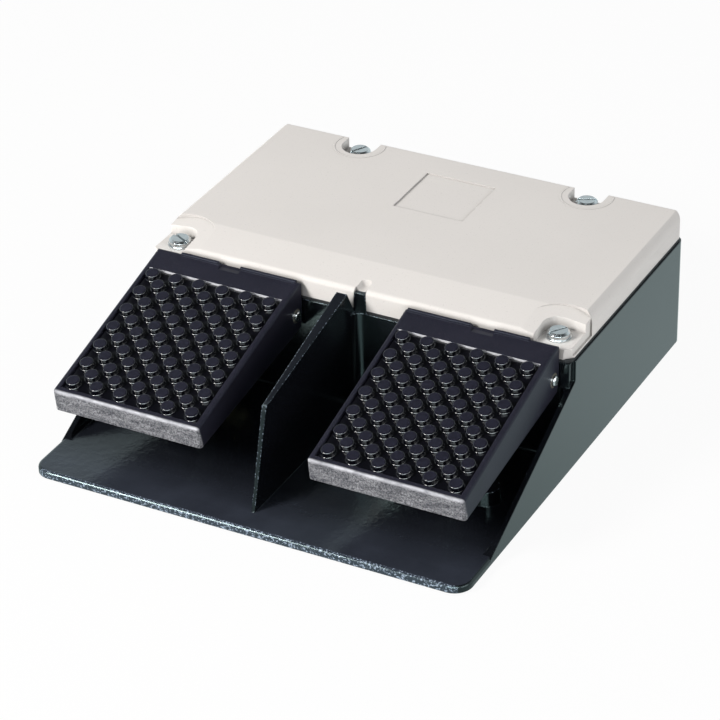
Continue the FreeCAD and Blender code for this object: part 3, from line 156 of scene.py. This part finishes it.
class Shader:
    """A node material under construction."""

    def __init__(self, name, metallic=0.0, specular=0.5, tint=(1.0, 1.0, 1.0)):
        self.material = bpy.data.materials.new(name)
        self.material.use_nodes = True
        self.tree = self.material.node_tree
        self.principled = self.tree.nodes["Principled BSDF"]
        self.set("Metallic", metallic)
        self.set("Specular IOR Level", specular)
        self.set("Specular Tint", (*tint, 1.0))
        self.place = self.node("ShaderNodeTexCoord").outputs["Object"]

    def set(self, socket, value):
        self.principled.inputs[socket].default_value = value

    def node(self, kind, **values):
        made = self.tree.nodes.new(kind)
        for key, value in values.items():
            setattr(made, key, value)
        return made

    def link(self, start, end):
        self.tree.links.new(start, end)

    def feed(self, socket, start):
        self.link(start, self.principled.inputs[socket])

    def axes(self):
        """The place's three coordinates, in metres."""
        split = self.node("ShaderNodeSeparateXYZ")
        self.link(self.place, split.inputs["Vector"])
        return split.outputs

    def noise(self, scale, detail=2.0, rough=0.5, stretch=None):
        """Noise with features about 1/scale metres wide."""
        made = self.node("ShaderNodeTexNoise")
        made.inputs["Scale"].default_value = scale
        made.inputs["Detail"].default_value = detail
        made.inputs["Roughness"].default_value = rough
        place = self.place
        if stretch:
            mapping = self.node("ShaderNodeMapping")
            mapping.inputs["Scale"].default_value = stretch
            self.link(place, mapping.inputs["Vector"])
            place = mapping.outputs["Vector"]
        self.link(place, made.inputs["Vector"])
        return made.outputs["Fac"]

    def math(self, operation, a, b=None, c=None):
        made = self.node("ShaderNodeMath", operation=operation)
        for value, socket in zip((a, b, c), made.inputs):
            if value is None:
                continue
            if isinstance(value, (int, float)):
                socket.default_value = value
            else:
                self.link(value, socket)
        return made.outputs[0]

    def spread(self, value, low, high, to_low=0.0, to_high=1.0):
        made = self.node("ShaderNodeMapRange")
        for key, number in (("From Min", low), ("From Max", high), ("To Min", to_low), ("To Max", to_high)):
            made.inputs[key].default_value = number
        self.link(value, made.inputs["Value"])
        return made.outputs["Result"]

    def blend(self, factor, a, b):
        """A colour between a and b."""
        made = self.node("ShaderNodeMix", data_type="RGBA")
        if isinstance(factor, (int, float)):
            made.inputs["Factor"].default_value = factor
        else:
            self.link(factor, made.inputs["Factor"])
        for value, socket in ((a, made.inputs[6]), (b, made.inputs[7])):
            if isinstance(value, (tuple, list)):
                socket.default_value = (*value[:3], 1.0)
            else:
                self.link(value, socket)
        return made.outputs[2]

    def bump(self, height, strength, distance, before=None):
        made = self.node("ShaderNodeBump")
        made.inputs["Strength"].default_value = strength
        made.inputs["Distance"].default_value = distance
        self.link(height, made.inputs["Height"])
        if before is not None:
            self.link(before, made.inputs["Normal"])
        return made.outputs["Normal"]

    def soft_edges(self, radius):
        """A normal that rounds the edges by this radius."""
        made = self.node("ShaderNodeBevel", samples=6)
        made.inputs["Radius"].default_value = radius
        return made.outputs["Normal"]

    def facing_up(self):
        split = self.node("ShaderNodeSeparateXYZ")
        self.link(self.node("ShaderNodeNewGeometry").outputs["Normal"], split.inputs["Vector"])
        return split.outputs["Z"]

    def edge_share(self, rounded):
        """How far the rounded normal turns away from the true one: 0 on faces, 1 on edges."""
        true = self.node("ShaderNodeNewGeometry").outputs["Normal"]
        dot = self.node("ShaderNodeVectorMath", operation="DOT_PRODUCT")
        self.link(true, dot.inputs[0])
        self.link(rounded, dot.inputs[1])
        return self.spread(dot.outputs["Value"], 0.90, 0.995, 1.0, 0.0)

    def openness(self, reach):
        """0 in narrow corners, 1 in the open."""
        made = self.node("ShaderNodeAmbientOcclusion", samples=8)
        made.inputs["Distance"].default_value = reach
        return made.outputs["AO"]

    def on_pedal(self):
        """Distances from the pivot along the tread and out of it, in metres."""
        axes = self.axes()
        behind = self.math("SUBTRACT", axes["Y"], PIVOT_Y * MM)
        above = self.math("SUBTRACT", axes["Z"], PIVOT_Z * MM)
        sin, cos = math.sin(TILT), math.cos(TILT)
        along = self.math("MULTIPLY_ADD", above, sin, self.math("MULTIPLY", behind, cos))
        out = self.math("MULTIPLY_ADD", behind, -sin, self.math("MULTIPLY", above, cos))
        return along, out

    def off_middle(self):
        """Distance from the pedal's middle across it, in metres."""
        across = self.math("SUBTRACT", self.math("ABSOLUTE", self.axes()["X"]), PEDAL_X * MM)
        return self.math("ABSOLUTE", across)


def shade(colour, factor):
    return tuple(channel * factor for channel in colour)


COAT_DEEP = (0.0035, 0.0040, 0.0055)
COAT_LIGHT = (0.0065, 0.0075, 0.0100)
COAT_DUST = (0.036, 0.042, 0.058)
COAT_RIM_PAINTED_LIGHT = (0.045, 0.058, 0.080)
COAT_PAINTED_SPARKLE = (0.33, 0.40, 0.50)


def powder_coat():
    """Glossy black coat on the die casting, with orange peel, dust on what faces up thinned below the
    pedals as painted shade, a front face lightened as painted light, and painted highlight sparkles on its
    edges.
    """
    s = Shader("coated_casting", tint=(0.78, 1.0, 1.0))
    edges = s.soft_edges(0.8 * MM)
    flat = s.spread(s.facing_up(), 0.90, 0.99)
    axes = s.axes()
    black = s.blend(s.noise(35, 3), COAT_DEEP, COAT_LIGHT)
    pale_share = s.math("MULTIPLY", flat, s.spread(s.noise(55, 4), 0.25, 0.75, 0.65, 1.0))
    # Painted shade: the dust fades towards the rear, so the tray is darker below the pedals.
    pale_share = s.math("MULTIPLY", pale_share, s.spread(axes["Y"], UNDER_PEDAL_SHADE_START * MM, UNDER_PEDAL_SHADE_FULL * MM, 1.0, 0.25))
    base = s.blend(pale_share, black, COAT_DUST)
    rim = s.math("LESS_THAN", axes["Y"], RIM_FACE * MM)
    rib = s.math("LESS_THAN", s.math("ABSOLUTE", axes["X"]), CHEEK_INNER * MM)
    clear = s.math("MULTIPLY", rib, s.math("GREATER_THAN", axes["Z"], FLOOR_CLEAR * MM))
    share = s.math("MAXIMUM", s.math("MULTIPLY", clear, s.edge_share(edges)), rim)
    # Painted light: the front face is lightened.
    base = s.blend(s.math("MULTIPLY", rim, 0.6), base, COAT_RIM_PAINTED_LIGHT)
    # Painted highlight: sparkles on the front face and on the rib's edges.
    painted_sparkles = s.math("MULTIPLY", share, s.spread(s.noise(1000, 2), 0.53, 0.65))
    s.feed("Base Color", s.blend(painted_sparkles, base, COAT_PAINTED_SPARKLE))
    s.feed("Roughness", s.spread(s.noise(900, 2), 0.3, 0.7, 0.12, 0.20))
    peel = s.bump(s.math("MULTIPLY", s.noise(280, 2), flat), 0.22, 0.5 * MM, edges)
    s.feed("Normal", s.bump(s.noise(1300, 2), 0.16, 0.12 * MM, peel))
    return s.material


COVER_COLOUR = (0.80, 0.77, 0.74)
COVER_CORNER = 5.0


def cover_moulding():
    """Pale satin moulding with a fine spark-eroded texture, and painted shade in its narrow corners and
    recesses.
    """
    s = Shader("cover_moulding", specular=0.05)
    tone = s.spread(s.noise(14, 3), 0.3, 0.7)
    base = s.blend(tone, shade(COVER_COLOUR, 0.97), COVER_COLOUR)
    base = s.blend(s.spread(s.noise(1100, 2), 0.64, 0.74), base, shade(COVER_COLOUR, 0.86))
    # Painted shade: darker in narrow corners and recesses, where shade falls.
    open_share = s.spread(s.openness(COVER_CORNER * MM), 0.45, 0.95)
    s.feed("Base Color", s.blend(open_share, shade(COVER_COLOUR, 0.62), base))
    s.feed("Roughness", s.spread(s.noise(60, 3), 0.3, 0.7, 0.42, 0.54))
    edges = s.soft_edges(0.5 * MM)
    s.feed("Normal", s.bump(s.noise(2600, 2, 0.6), 0.12, 0.08 * MM, edges))
    return s.material


PEDAL_DEEP = (0.010, 0.010, 0.017)
PEDAL_LIGHT = (0.020, 0.019, 0.031)
PEDAL_SPECK = (0.070, 0.068, 0.086)
LIP_SCUFF_LIGHT_DARK = (0.060, 0.060, 0.068)
LIP_SCUFF_LIGHT_PALE = (0.38, 0.38, 0.40)
LIP_PAINTED_HIGHLIGHT = (0.62, 0.62, 0.66)
WALL_PAINTED_GLINT = (0.80, 0.80, 0.84)


def pedal_moulding():
    """Glass-filled black moulding with a purple-grey cast, its front lip painted pale with scuffs and
    painted light, with a painted highlight on the lip's top edge and a painted glint on the recess's rear
    wall.
    """
    s = Shader("pedal_moulding", specular=0.22, tint=(0.75, 0.88, 1.0))
    grain = s.noise(2200, 3, 0.6)
    tone = s.blend(s.noise(50, 4), PEDAL_DEEP, PEDAL_LIGHT)
    speckled = s.blend(s.spread(grain, 0.58, 0.74), tone, PEDAL_SPECK)
    along, out = s.on_pedal()
    # Painted light and scuffs: the front lip is pale and streaky.
    lip = s.spread(along, LIP_SCUFF_LIGHT_START * MM, LIP_SCUFF_LIGHT_END * MM, 1.0, 0.0)
    streaks = s.spread(s.noise(110, 5, 0.65, (1.0, 3.0, 3.0)), 0.28, 0.60, 0.25, 1.0)
    scuff_and_light = s.blend(s.spread(s.noise(1300, 3, 0.65), 0.38, 0.62), LIP_SCUFF_LIGHT_DARK, LIP_SCUFF_LIGHT_PALE)
    # Painted highlight along the lip's top edge.
    bright = s.math("MULTIPLY", s.spread(out, LIP_HIGHLIGHT_START * MM, LIP_HIGHLIGHT_FULL * MM), 0.85)
    scuff_and_light = s.blend(bright, scuff_and_light, LIP_PAINTED_HIGHLIGHT)
    base = s.blend(s.math("MULTIPLY", lip, streaks), speckled, scuff_and_light)
    # Painted glint on the recess's rear wall, below the frame's surface.
    wall = s.math("MULTIPLY", s.math("GREATER_THAN", along, WALL_START * MM),
                  s.math("LESS_THAN", along, WALL_END * MM))
    wall = s.math("MULTIPLY", wall, s.math("LESS_THAN", out, WALL_TOP * MM))
    wall = s.math("MULTIPLY", wall, s.math("LESS_THAN", s.off_middle(), WALL_HALF * MM))
    s.feed("Base Color", s.blend(wall, base, WALL_PAINTED_GLINT))
    s.feed("Roughness", s.spread(grain, 0.3, 0.7, 0.38, 0.52))
    edges = s.soft_edges(0.7 * MM)
    s.feed("Normal", s.bump(grain, 0.24, 0.10 * MM, edges))
    return s.material


RUBBER_BLACK = (0.003, 0.003, 0.0055)
RUBBER_RUBBED = (0.013, 0.013, 0.026)


def tread_rubber():
    """Black rubber, glossy in the field and on the studs' sides, matt grey on their rubbed tops."""
    s = Shader("tread_rubber", specular=0.75)
    rubbed = s.node("ShaderNodeAttribute", attribute_name="rubbed").outputs["Fac"]
    pale_share = s.spread(s.noise(700, 3, 0.6), 0.3, 0.7, 0.6, 1.0)
    worn = s.math("MULTIPLY", rubbed, pale_share)
    s.feed("Base Color", s.blend(worn, RUBBER_BLACK, RUBBER_RUBBED))
    s.feed("Roughness", s.spread(worn, 0.0, 1.0, 0.15, 0.36))
    s.feed("Normal", s.bump(s.noise(1900, 3, 0.6), 0.12, 0.08 * MM))
    return s.material


def turned_metal(name, colour, roughness, marks=True):
    """Plated or turned metal, with ring marks about the cover screws' own axes."""
    s = Shader(name, metallic=1.0)
    s.feed("Base Color", s.blend(s.noise(300, 4), shade(colour, 0.84), colour))
    s.feed("Roughness", s.spread(s.noise(800, 3), 0.3, 0.7, roughness * 0.75, roughness * 1.35))
    edges = s.soft_edges(0.25 * MM)
    height = s.noise(1600, 2)
    if marks:
        axes = s.axes()
        rear = s.math("GREATER_THAN", axes["Y"], SCREW_DIVIDE_Y * MM)
        middle_x = s.spread(rear, 0, 1, SCREW_FRONT[0] * MM, SCREW_REAR[0] * MM)
        middle_y = s.spread(rear, 0, 1, SCREW_FRONT[1] * MM, SCREW_REAR[1] * MM)
        dx = s.math("SUBTRACT", s.math("ABSOLUTE", axes["X"]), middle_x)
        dy = s.math("SUBTRACT", axes["Y"], middle_y)
        radius = s.math("SQRT", s.math("ADD", s.math("MULTIPLY", dx, dx), s.math("MULTIPLY", dy, dy)))
        rings = s.math("SINE", s.math("MULTIPLY", radius, math.tau / (RING_PITCH * MM)))
        height = s.math("ADD", s.math("MULTIPLY", rings, 0.35), height)
    s.feed("Normal", s.bump(height, 0.18, 0.06 * MM, edges))
    return s.material


def brushed_steel(name, colour, roughness, stretch):
    s = Shader(name, metallic=1.0)
    s.feed("Base Color", s.blend(s.noise(200, 4), shade(colour, 0.85), colour))
    lines = s.noise(1500, 3, 0.6, stretch)
    s.feed("Roughness", s.spread(lines, 0.3, 0.7, roughness * 0.8, roughness * 1.3))
    s.feed("Normal", s.bump(lines, 0.12, 0.05 * MM, s.soft_edges(0.3 * MM)))
    return s.material


def moulded(name, dark, light, roughness, grain=1800, depth=0.12):
    s = Shader(name)
    s.feed("Base Color", s.blend(s.noise(120, 4), dark, light))
    fine = s.noise(grain, 3, 0.6)
    s.feed("Roughness", s.spread(fine, 0.3, 0.7, roughness * 0.85, roughness * 1.2))
    s.feed("Normal", s.bump(fine, depth, 0.08 * MM, s.soft_edges(0.35 * MM)))
    return s.material


FINISHES = {
    "body": powder_coat(),
    "cover": cover_moulding(),
    "pedal": pedal_moulding(),
    "tread": tread_rubber(),
    "zinc": turned_metal("zinc_plate", (0.62, 0.65, 0.66), 0.16),
    "brass": turned_metal("turned_brass", (0.78, 0.60, 0.30), 0.24, marks=False),
    "pin": brushed_steel("ground_pin", (0.72, 0.72, 0.72), 0.22, (0.05, 1.0, 1.0)),
    "spring": brushed_steel("spring_wire", (0.58, 0.58, 0.58), 0.3, (1.0, 1.0, 0.2)),
    "gasket": moulded("gasket_rubber", (0.010, 0.010, 0.011), (0.022, 0.022, 0.023), 0.6),
    "buffer": moulded("buffer_rubber", (0.018, 0.018, 0.019), (0.035, 0.035, 0.036), 0.65),
    "bush": moulded("greased_bearing", (0.10, 0.09, 0.07), (0.17, 0.16, 0.13), 0.35),
    "block": moulded("block_moulding", (0.035, 0.035, 0.038), (0.05, 0.05, 0.053), 0.42),
    "plunger": moulded("plunger_moulding", (0.48, 0.035, 0.025), (0.58, 0.05, 0.035), 0.3),
    "strip": moulded("strip_moulding", (0.72, 0.69, 0.60), (0.79, 0.765, 0.68), 0.45),
    "plug": moulded("plug_moulding", (0.016, 0.016, 0.018), (0.028, 0.028, 0.03), 0.45),
}
SLOT_OF = {row["node"]: row["material_slot"] for row in frame["record"]["subparts"]}

for node_name, node_object in NODES.items():
    finish = FINISHES[SLOT_OF[node_name]]
    node_object.data.materials.clear()
    node_object.data.materials.append(finish)
    for polygon in node_object.data.polygons:
        polygon.material_index = 0


# Pieces that replace plain ones of the frame

def on_pedal(side, x, t, n):
    """A point of a pedal's own frame, in metres in the shared frame."""
    cos, sin = math.cos(TILT), math.sin(TILT)
    return Vector((side * PEDAL_X + x, PIVOT_Y + t * cos - n * sin, PIVOT_Z + t * sin + n * cos)) * MM


def stud_places():
    step = STUD_PITCH / 2
    middle = (STUD_COLUMNS - 1) / 2
    places = []
    for row in range(STUD_ROWS):
        count = STUD_COLUMNS - row % 2
        for column in range(count):
            x = (column + (row % 2) / 2 - middle) * STUD_PITCH
            places.append((x, STUD_FRONT + row * step))
    return places


def stud_profile():
    """(radius, height, how far it is rubbed) from the foot of the base fillet to the middle of the top."""
    rings = []
    quarter = [math.pi / 2 * step / ARC_STEPS for step in range(ARC_STEPS + 1)]
    for turn in quarter:
        rings.append((STUD_RADIUS + STUD_FILLET * (1 - math.sin(turn)),
                      MAT_TOP + STUD_FILLET * (1 - math.cos(turn)), 0.0))
    rings.append((STUD_RADIUS, STUD_TOP - STUD_ROUND - STUD_BAND, 0.0))
    for step, turn in enumerate(quarter):
        rings.append((STUD_RADIUS - STUD_ROUND * (1 - math.cos(turn)),
                      STUD_TOP - STUD_ROUND * (1 - math.sin(turn)), 0.15 + 0.5 * step / ARC_STEPS))
    rings.append((STUD_RADIUS - STUD_ROUND - STUD_RUB, STUD_TOP, 1.0))
    rings.append((STUD_RADIUS * 0.5, STUD_TOP, 1.0))
    return rings


def circle(x, t, radius):
    turns = [math.tau * step / STUD_STEPS for step in range(STUD_STEPS)]
    return [(x + radius * math.cos(turn), t + radius * math.sin(turn)) for turn in turns]


def ring_of_edges(bm, ring):
    return [bm.edges.new((ring[i], ring[(i + 1) % len(ring)])) for i in range(len(ring))]


def rounded_rectangle(x0, x1, t0, t1, radius, steps=5):
    points = []
    for cx, ct, start in ((x1 - radius, t0 + radius, -90), (x1 - radius, t1 - radius, 0),
                          (x0 + radius, t1 - radius, 90), (x0 + radius, t0 + radius, 180)):
        for step in range(steps + 1):
            turn = math.radians(start + 90 * step / steps)
            points.append((cx + radius * math.cos(turn), ct + radius * math.sin(turn)))
    return points


def bridge(bm, low, high):
    for i in range(len(low)):
        j = (i + 1) % len(low)
        bm.faces.new((low[i], low[j], high[j], high[i]))


def tread_mat(name, side):
    """The mat in one closed mesh: filleted studs rising out of a flat field."""
    bm = bmesh.new()
    rubbed = bm.verts.layers.float.new("rubbed")

    def ring_at(points, n, worn=0.0):
        ring = []
        for x, t in points:
            vert = bm.verts.new(on_pedal(side, x, t, n))
            vert[rubbed] = worn
            ring.append(vert)
        return ring

    outline = rounded_rectangle(-MAT_HALF, MAT_HALF, MAT_FRONT, MAT_REAR, MAT_CORNER)
    inner = rounded_rectangle(-MAT_HALF + MAT_EDGE, MAT_HALF - MAT_EDGE, MAT_FRONT + MAT_EDGE,
                              MAT_REAR - MAT_EDGE, MAT_CORNER - MAT_EDGE)
    rim = ring_at(inner, MAT_TOP)
    loops = ring_of_edges(bm, rim)
    profile = stud_profile()
    feet = []
    for x, t in stud_places():
        radius, n, worn = profile[0]
        foot = ring_at(circle(x, t, radius), n, worn)
        loops += ring_of_edges(bm, foot)
        feet.append((x, t, foot))
    bmesh.ops.triangle_fill(bm, edges=loops, use_beauty=True)
    for x, t, below in feet:
        for radius, n, worn in profile[1:]:
            above = ring_at(circle(x, t, radius), n, worn)
            bridge(bm, below, above)
            below = above
        bm.faces.new(below)
    shoulder = ring_at(outline, MAT_TOP - MAT_EDGE)
    bottom = ring_at(outline, MAT_LOW)
    bridge(bm, shoulder, rim)
    bridge(bm, bottom, shoulder)
    bm.faces.new(list(reversed(bottom)))
    bmesh.ops.recalc_face_normals(bm, faces=bm.faces)
    mesh = bpy.data.meshes.new(name)
    bm.to_mesh(mesh)
    bm.free()
    mesh.shade_smooth()
    mesh.set_sharp_from_angle(angle=SHARP_EDGE)
    mat = bpy.data.objects.new(name, mesh)
    bpy.context.scene.collection.objects.link(mat)
    mesh.materials.append(FINISHES["tread"])
    return mat


def return_spring(name, side):
    """A closed and ground coil: the end turns lie flat, the rest rises evenly."""
    points = []
    low = SPRING_LOW + SPRING_WIRE + SPRING_GAP
    high = SPRING_HIGH - SPRING_WIRE - SPRING_GAP
    rise = high - low - 2 * SPRING_CLOSED
    for step in range(SPRING_TURNS * SPRING_STEPS + 1):
        turn = step / SPRING_STEPS
        if turn < 1:
            z = low + SPRING_CLOSED * turn
        elif turn > SPRING_TURNS - 1:
            z = high - SPRING_CLOSED * (SPRING_TURNS - turn)
        else:
            z = low + SPRING_CLOSED + rise * (turn - 1) / (SPRING_TURNS - 2)
        points.append(Vector((side * PEDAL_X + SPRING_RADIUS * math.cos(math.tau * turn),
                              SPRING_Y + SPRING_RADIUS * math.sin(math.tau * turn), z)) * MM)
    curve = bpy.data.curves.new(name, "CURVE")
    curve.dimensions = "3D"
    curve.bevel_depth = SPRING_WIRE * MM
    curve.bevel_resolution = 4
    curve.use_fill_caps = True
    spline = curve.splines.new("POLY")
    spline.points.add(len(points) - 1)
    for point, place in zip(spline.points, points):
        point.co = (*place, 1.0)
    shape = bpy.data.objects.new(name + "_path", curve)
    bpy.context.scene.collection.objects.link(shape)
    bpy.context.view_layer.update()
    mesh = bpy.data.meshes.new_from_object(shape.evaluated_get(bpy.context.evaluated_depsgraph_get()))
    bpy.data.objects.remove(shape)
    mesh.name = name
    mesh.shade_smooth()
    mesh.materials.clear()
    mesh.materials.append(FINISHES["spring"])
    spring = bpy.data.objects.new(name, mesh)
    bpy.context.scene.collection.objects.link(spring)
    return spring


for side_name, side_sign in SIDES.items():
    mat = tread_mat(side_name + "_studded_mat", side_sign)
    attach(mat, side_name + "_pedal")
    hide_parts(side_name + "_tread_mat")

    spring = return_spring(side_name + "_coil", side_sign)
    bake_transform(spring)
    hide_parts(side_name + "_return_spring")


# Floor, light and camera

def smooth_step(tree, value, start, stop, at_start=0.0, at_stop=1.0):
    """Goes smoothly from at_start to at_stop as the value goes from start to stop."""
    if start > stop:
        start, stop, at_start, at_stop = stop, start, at_stop, at_start
    step = tree.nodes.new("ShaderNodeMapRange")
    step.interpolation_type = "SMOOTHSTEP"
    for key, number in (("From Min", start), ("From Max", stop), ("To Min", at_start), ("To Max", at_stop)):
        step.inputs[key].default_value = number
    tree.links.new(value, step.inputs["Value"])
    return step.outputs["Result"]


def add_node(tree, kind, settings=(), **inputs):
    """A node with its settings made and its inputs set or linked."""
    made = tree.nodes.new(kind)
    for key, value in dict(settings).items():
        setattr(made, key, value)
    for key, value in inputs.items():
        socket = made.inputs[int(key[1:])] if key[1:].isdigit() else made.inputs[key]
        if isinstance(value, bpy.types.NodeSocket):
            tree.links.new(value, socket)
        else:
            socket.default_value = value
    return made.outputs


def colour_mix(tree, factor, a, b):
    return add_node(tree, "ShaderNodeMix", {"data_type": "RGBA"}, Factor=factor, _6=a, _7=b)[2]


def floor_material():
    """White to the camera and in reflections, where it keeps a part of the object's shadow."""
    material = bpy.data.materials.new("studio_floor")
    material.use_nodes = True
    tree = material.node_tree
    principled = tree.nodes["Principled BSDF"]
    principled.inputs["Roughness"].default_value = 0.9
    principled.inputs["Specular IOR Level"].default_value = 0.1
    noise = add_node(tree, "ShaderNodeTexNoise", Scale=3.0)["Fac"]
    paint = colour_mix(tree, noise, (0.80, 0.80, 0.80, 1.0), (0.84, 0.84, 0.84, 1.0))
    tree.links.new(paint, principled.inputs["Base Color"])

    rays = add_node(tree, "ShaderNodeLightPath")
    place = add_node(tree, "ShaderNodeSeparateXYZ", Vector=add_node(tree, "ShaderNodeTexCoord")["Object"])
    behind = smooth_step(tree, place["Y"], *FLOOR_SEEN_SPAN)
    reflected = colour_mix(tree, behind, (*FLOOR_SEEN_FRONT, 1.0), (*FLOOR_SEEN_REAR, 1.0))
    colour = colour_mix(tree, rays["Is Camera Ray"], reflected, (1.0, 1.0, 1.0, 1.0))
    glow = add_node(tree, "ShaderNodeEmission", Color=colour)[0]
    seen = add_node(tree, "ShaderNodeMath", {"operation": "MAXIMUM"}, _0=rays["Is Camera Ray"],
                    _1=rays["Is Glossy Ray"])[0]
    share = add_node(tree, "ShaderNodeMath", {"operation": "MULTIPLY"}, _0=seen, _1=FLOOR_GLOW)[0]
    mix = add_node(tree, "ShaderNodeMixShader", _0=share, _1=principled.outputs[0], _2=glow)[0]
    tree.links.new(mix, tree.nodes["Material Output"].inputs["Surface"])
    return material


def studio_floor():
    mesh = bpy.data.meshes.new("studio_floor")
    corners = [(x * FLOOR_REACH, y * FLOOR_REACH, 0) for x, y in ((-1, -1), (1, -1), (1, 1), (-1, 1))]
    mesh.from_pydata(corners, [], [(0, 1, 2, 3)])
    floor = bpy.data.objects.new("studio_floor", mesh)
    bpy.context.scene.collection.objects.link(floor)
    mesh.materials.append(floor_material())


def studio_world():
    """Even light. Reflections show a bright horizon, a dark ceiling and a window in front."""
    world = bpy.data.worlds.new("studio")
    bpy.context.scene.world = world
    world.use_nodes = True
    tree = world.node_tree
    even = tree.nodes["Background"]
    even.inputs["Color"].default_value = (0.97, 0.98, 1.0, 1.0)
    even.inputs["Strength"].default_value = WORLD_LIGHT
    axes = add_node(tree, "ShaderNodeSeparateXYZ", Vector=add_node(tree, "ShaderNodeTexCoord")["Generated"])
    ceiling = smooth_step(tree, axes["Z"], *CEILING_SPAN, HORIZON_SEEN, OVERHEAD_SEEN)
    window = smooth_step(tree, axes["Y"], *WINDOW_FRONT)
    for axis, outside, inside in WINDOW_EDGES:
        window = add_node(tree, "ShaderNodeMath", {"operation": "MULTIPLY"}, _0=window,
                          _1=smooth_step(tree, axes[axis], outside, inside))[0]
    strength = add_node(tree, "ShaderNodeMath", {"operation": "MULTIPLY_ADD"}, _0=window, _1=WINDOW_SEEN,
                        _2=ceiling)[0]
    walls = add_node(tree, "ShaderNodeBackground", Color=(0.88, 0.97, 1.0, 1.0), Strength=strength)[0]
    white = add_node(tree, "ShaderNodeBackground", Color=(1.0, 1.0, 1.0, 1.0), Strength=1.0)[0]
    rays = add_node(tree, "ShaderNodeLightPath")
    reflected = add_node(tree, "ShaderNodeMixShader", _0=rays["Is Glossy Ray"], _1=even.outputs[0],
                         _2=walls)[0]
    seen = add_node(tree, "ShaderNodeMixShader", _0=rays["Is Camera Ray"], _1=reflected, _2=white)[0]
    tree.links.new(seen, tree.nodes["World Output"].inputs["Surface"])


def soft_box(name, azimuth, elevation, distance, width, height, power, colour=(1.0, 1.0, 1.0)):
    """A rectangular lamp that looks at the object. Azimuth 0 stands in front, 90 on the right."""
    lamp = bpy.data.lights.new(name, "AREA")
    lamp.shape = "RECTANGLE"
    lamp.size = width
    lamp.size_y = height
    lamp.energy = power
    lamp.color = colour
    made = bpy.data.objects.new(name, lamp)
    az, el = math.radians(azimuth), math.radians(elevation)
    away = Vector((math.sin(az) * math.cos(el), -math.cos(az) * math.cos(el), math.sin(el)))
    made.location = Vector(LAMP_TARGET) + away * distance
    made.rotation_euler = (-away).to_track_quat("-Z", "Y").to_euler()
    bpy.context.scene.collection.objects.link(made)


def photo_camera():
    az, el, roll = CAMERA_AZIMUTH, CAMERA_ELEVATION, CAMERA_ROLL
    back = Vector((math.sin(az) * math.cos(el), -math.cos(az) * math.cos(el), math.sin(el)))
    level = Vector((math.cos(az), math.sin(az), 0.0))
    upright = back.cross(level)
    right = math.cos(roll) * level + math.sin(roll) * upright
    up = -math.sin(roll) * level + math.cos(roll) * upright
    data = bpy.data.cameras.new("photo_camera")
    data.sensor_width = SENSOR
    data.lens = CAMERA_FOCAL_PIXELS * SENSOR / FRAME_PIXELS
    data.clip_end = CAMERA_REACH
    camera = bpy.data.objects.new("photo_camera", data)
    place = level * CAMERA_SIDE + Vector((0, 0, CAMERA_HEIGHT)) + back * CAMERA_DISTANCE
    turn = Matrix((right, up, back)).transposed().to_4x4()
    camera.matrix_world = Matrix.Translation(place) @ turn
    bpy.context.scene.collection.objects.link(camera)
    bpy.context.scene.camera = camera


studio_floor()
studio_world()
soft_box("left_key", -35, 31, 1.9, 0.5, 0.5, 37, (1.0, 0.98, 0.955))
soft_box("right_fill", 80, 24, 1.8, 1.2, 0.8, 10, (0.98, 0.99, 1.0))
photo_camera()
bpy.context.scene.view_settings.view_transform = "Standard"
